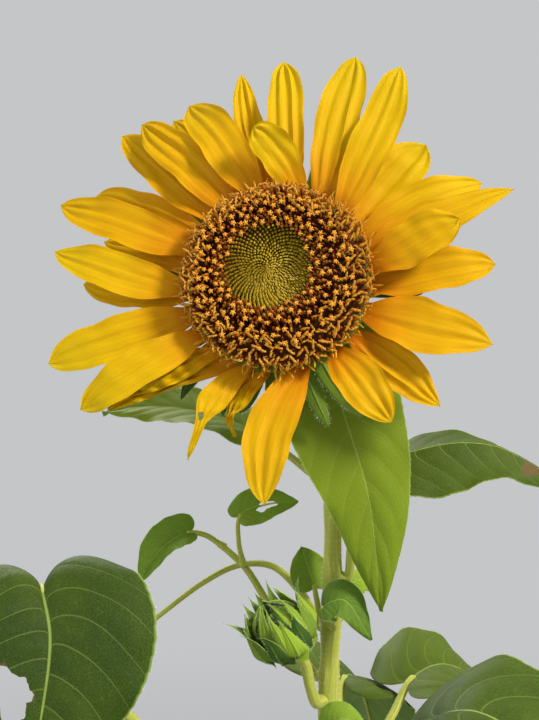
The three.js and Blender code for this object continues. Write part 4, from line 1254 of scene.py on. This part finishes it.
floretKeys = ("First", "Count", "Spacing", "Sink", "Smallest", "Largest", "Untidy", "Lean more", "Seed")
floretRows = {
    "closedFlorets": ("closed", 0, 590, 0.00082, 0.0016, 0.72, 1.08, 0.05, 0.0, 3),
    "brownFlorets": ("bead", 440, 280, 0.00094, 0.0013, 0.7, 1.15, 0.06, 0.0, 7),
    "budFlorets": ("bud", 240, 560, 0.00130, 0.0012, 1.0, 1.1, 0.14, 0.0, 4),
    "antherTubes": ("tube", 116, 165, 0.00192, 0.0016, 1.0, 1.0, 0.08, 0.0, 5),
    "pollenStars": ("star", 116, 165, 0.00192, 0.0016, 0.88, 1.05, 0.16, 0.0, 5),
    "curledStyles": ("style", 470, 330, 0.00130, 0.0018, 1.0, 1.1, 0.3, 0.1, 6),
    "rimStyles": ("style", 1330, 120, 0.00098, 0.0026, 0.9, 0.95, 0.3, 0.3, 9),
    "goldScales": ("gold", 3300, 90, 0.00066, 0.003, 1.0, 1.0, 0.3, 0.2, 8),
}
shapes = {kind: floretShape(kind) for kind in (*spikes, "gold")}
for name, (kind, *row) in floretRows.items():
    spiralPiece(name, shapes[kind], row)
for shape in shapes.values():
    bpy.data.objects.remove(shape)
print("disc made")

# Bristles over stems and stalks: how many a square millimetre, above which height, and how long
hairMake = {"length": 1.1, "thick": 0.055, "spread": 0.35, "lengths": (0.4, 1.3)}


def addSkinHairs(stock, piece, density, low, length):
    mesh = piece.data
    count = len(mesh.polygons)
    areas, centres, normals = np.empty(count), np.empty(count * 3), np.empty(count * 3)
    for key, values in (("area", areas), ("center", centres), ("normal", normals)):
        mesh.polygons.foreach_get(key, values)
    centres, normals = centres.reshape(-1, 3) / mm, normals.reshape(-1, 3)
    weights = areas * (centres[:, 2] > low)
    number = int(weights.sum() / mm ** 2 * density)
    picked = rng.choice(count, number, p=weights / weights.sum())
    roots = centres[picked] + rng.normal(0, hairMake["spread"], (number, 3))
    roots -= normals[picked] * dot(roots - centres[picked], normals[picked])
    ways = unit(normals[picked] + rng.normal(0, hairMake["spread"], (number, 3)))
    lengths = length * hairMake["length"] * rng.uniform(*hairMake["lengths"], number)
    addBristles(stock, roots - ways * 0.1, ways, lengths, hairMake["thick"])


for row in (
    (mainStem, 0.75, 640, 1.0), (mainStem, 0.22, 5, 1.0), (sideBoughs, 0.9, 0, 0.8),
    (leafStalks, 0.32, 0, 0.8),
):
    addSkinHairs(hairs, *row)
dress(makePiece("hairs", hairs, finishes["hair"]), "stem")

# Camera at the photograph's viewing angle
photoView = {
    "place": (-0.02557, -0.540, 0.8664), "turn": (math.radians(90), 0, 0), "lens": 59.52, "sensor": 36.0,
}
camera = placed(bpy.data.objects.new("camera", bpy.data.cameras.new("camera")))
camera.location, camera.rotation_euler = photoView["place"], photoView["turn"]
camera.data.lens, camera.data.sensor_width = photoView["lens"], photoView["sensor"]
camera.data.clip_start = 0.01
bpy.context.scene.camera = camera

# Plain pale floor that fades into the background away from the plant, and soft studio light
studio = {
    "floorSize": 60.0, "floor": (0.50, 0.50, 0.51), "fade": (0.6, 3.2), "world": (0.90, 0.91, 0.93),
    "worldStrength": 0.62, "aim": (-0.02, -0.03, 0.85),
}
lamps = {
    "key": {"place": (1.2, -1.0, 1.9), "size": 0.4, "power": 46.0, "colour": (1.0, 0.95, 0.86)},
    "fill": {"place": (-1.6, -1.4, 1.2), "size": 1.6, "power": 12.0, "colour": (0.92, 0.96, 1.0)},
    "back": {"place": (-0.6, 1.3, 1.9), "size": 0.9, "power": 26.0, "colour": (1.0, 0.97, 0.9)},
}
worldColour = (*studio["world"], 1)
floorMesh = bpy.data.meshes.new("floor")
reach = studio["floorSize"] / 2
corners = [(x * reach, y * reach, 0) for x, y in ((-1, -1), (1, -1), (1, 1), (-1, 1))]
floorMesh.from_pydata(corners, [], [(0, 1, 2, 3)])
floorFinish, board, inputs = newFinish("paleFloor", {"rough": 0.9, "shine": 0.0, "glow": worldColour})
away = board.add("ShaderNodeVectorMath", {0: board.place()}, "Value", operation="LENGTH")
faded = board.between(away, *studio["fade"])
board.feed(inputs["Base Color"], board.blend(faded, studio["floor"], (0, 0, 0)))
board.feed(inputs["Emission Strength"], faded * studio["worldStrength"])
floorMesh.materials.append(floorFinish)
placed(bpy.data.objects.new("floor", floorMesh))

for name, row in lamps.items():
    lamp = bpy.data.lights.new(name, "AREA")
    lamp.shape = "DISK"
    lamp.size, lamp.energy, lamp.color = row["size"], row["power"], row["colour"]
    light = placed(bpy.data.objects.new(name, lamp))
    light.location = row["place"]
    light.rotation_euler = (Vector(studio["aim"]) - Vector(row["place"])).to_track_quat("-Z", "Y").to_euler()

world = bpy.data.worlds.new("studio")
world.use_nodes = True
background = world.node_tree.nodes["Background"].inputs
background["Color"].default_value, background["Strength"].default_value = worldColour, studio["worldStrength"]
bpy.context.scene.world = world
bpy.context.scene.view_settings.view_transform = "Standard"
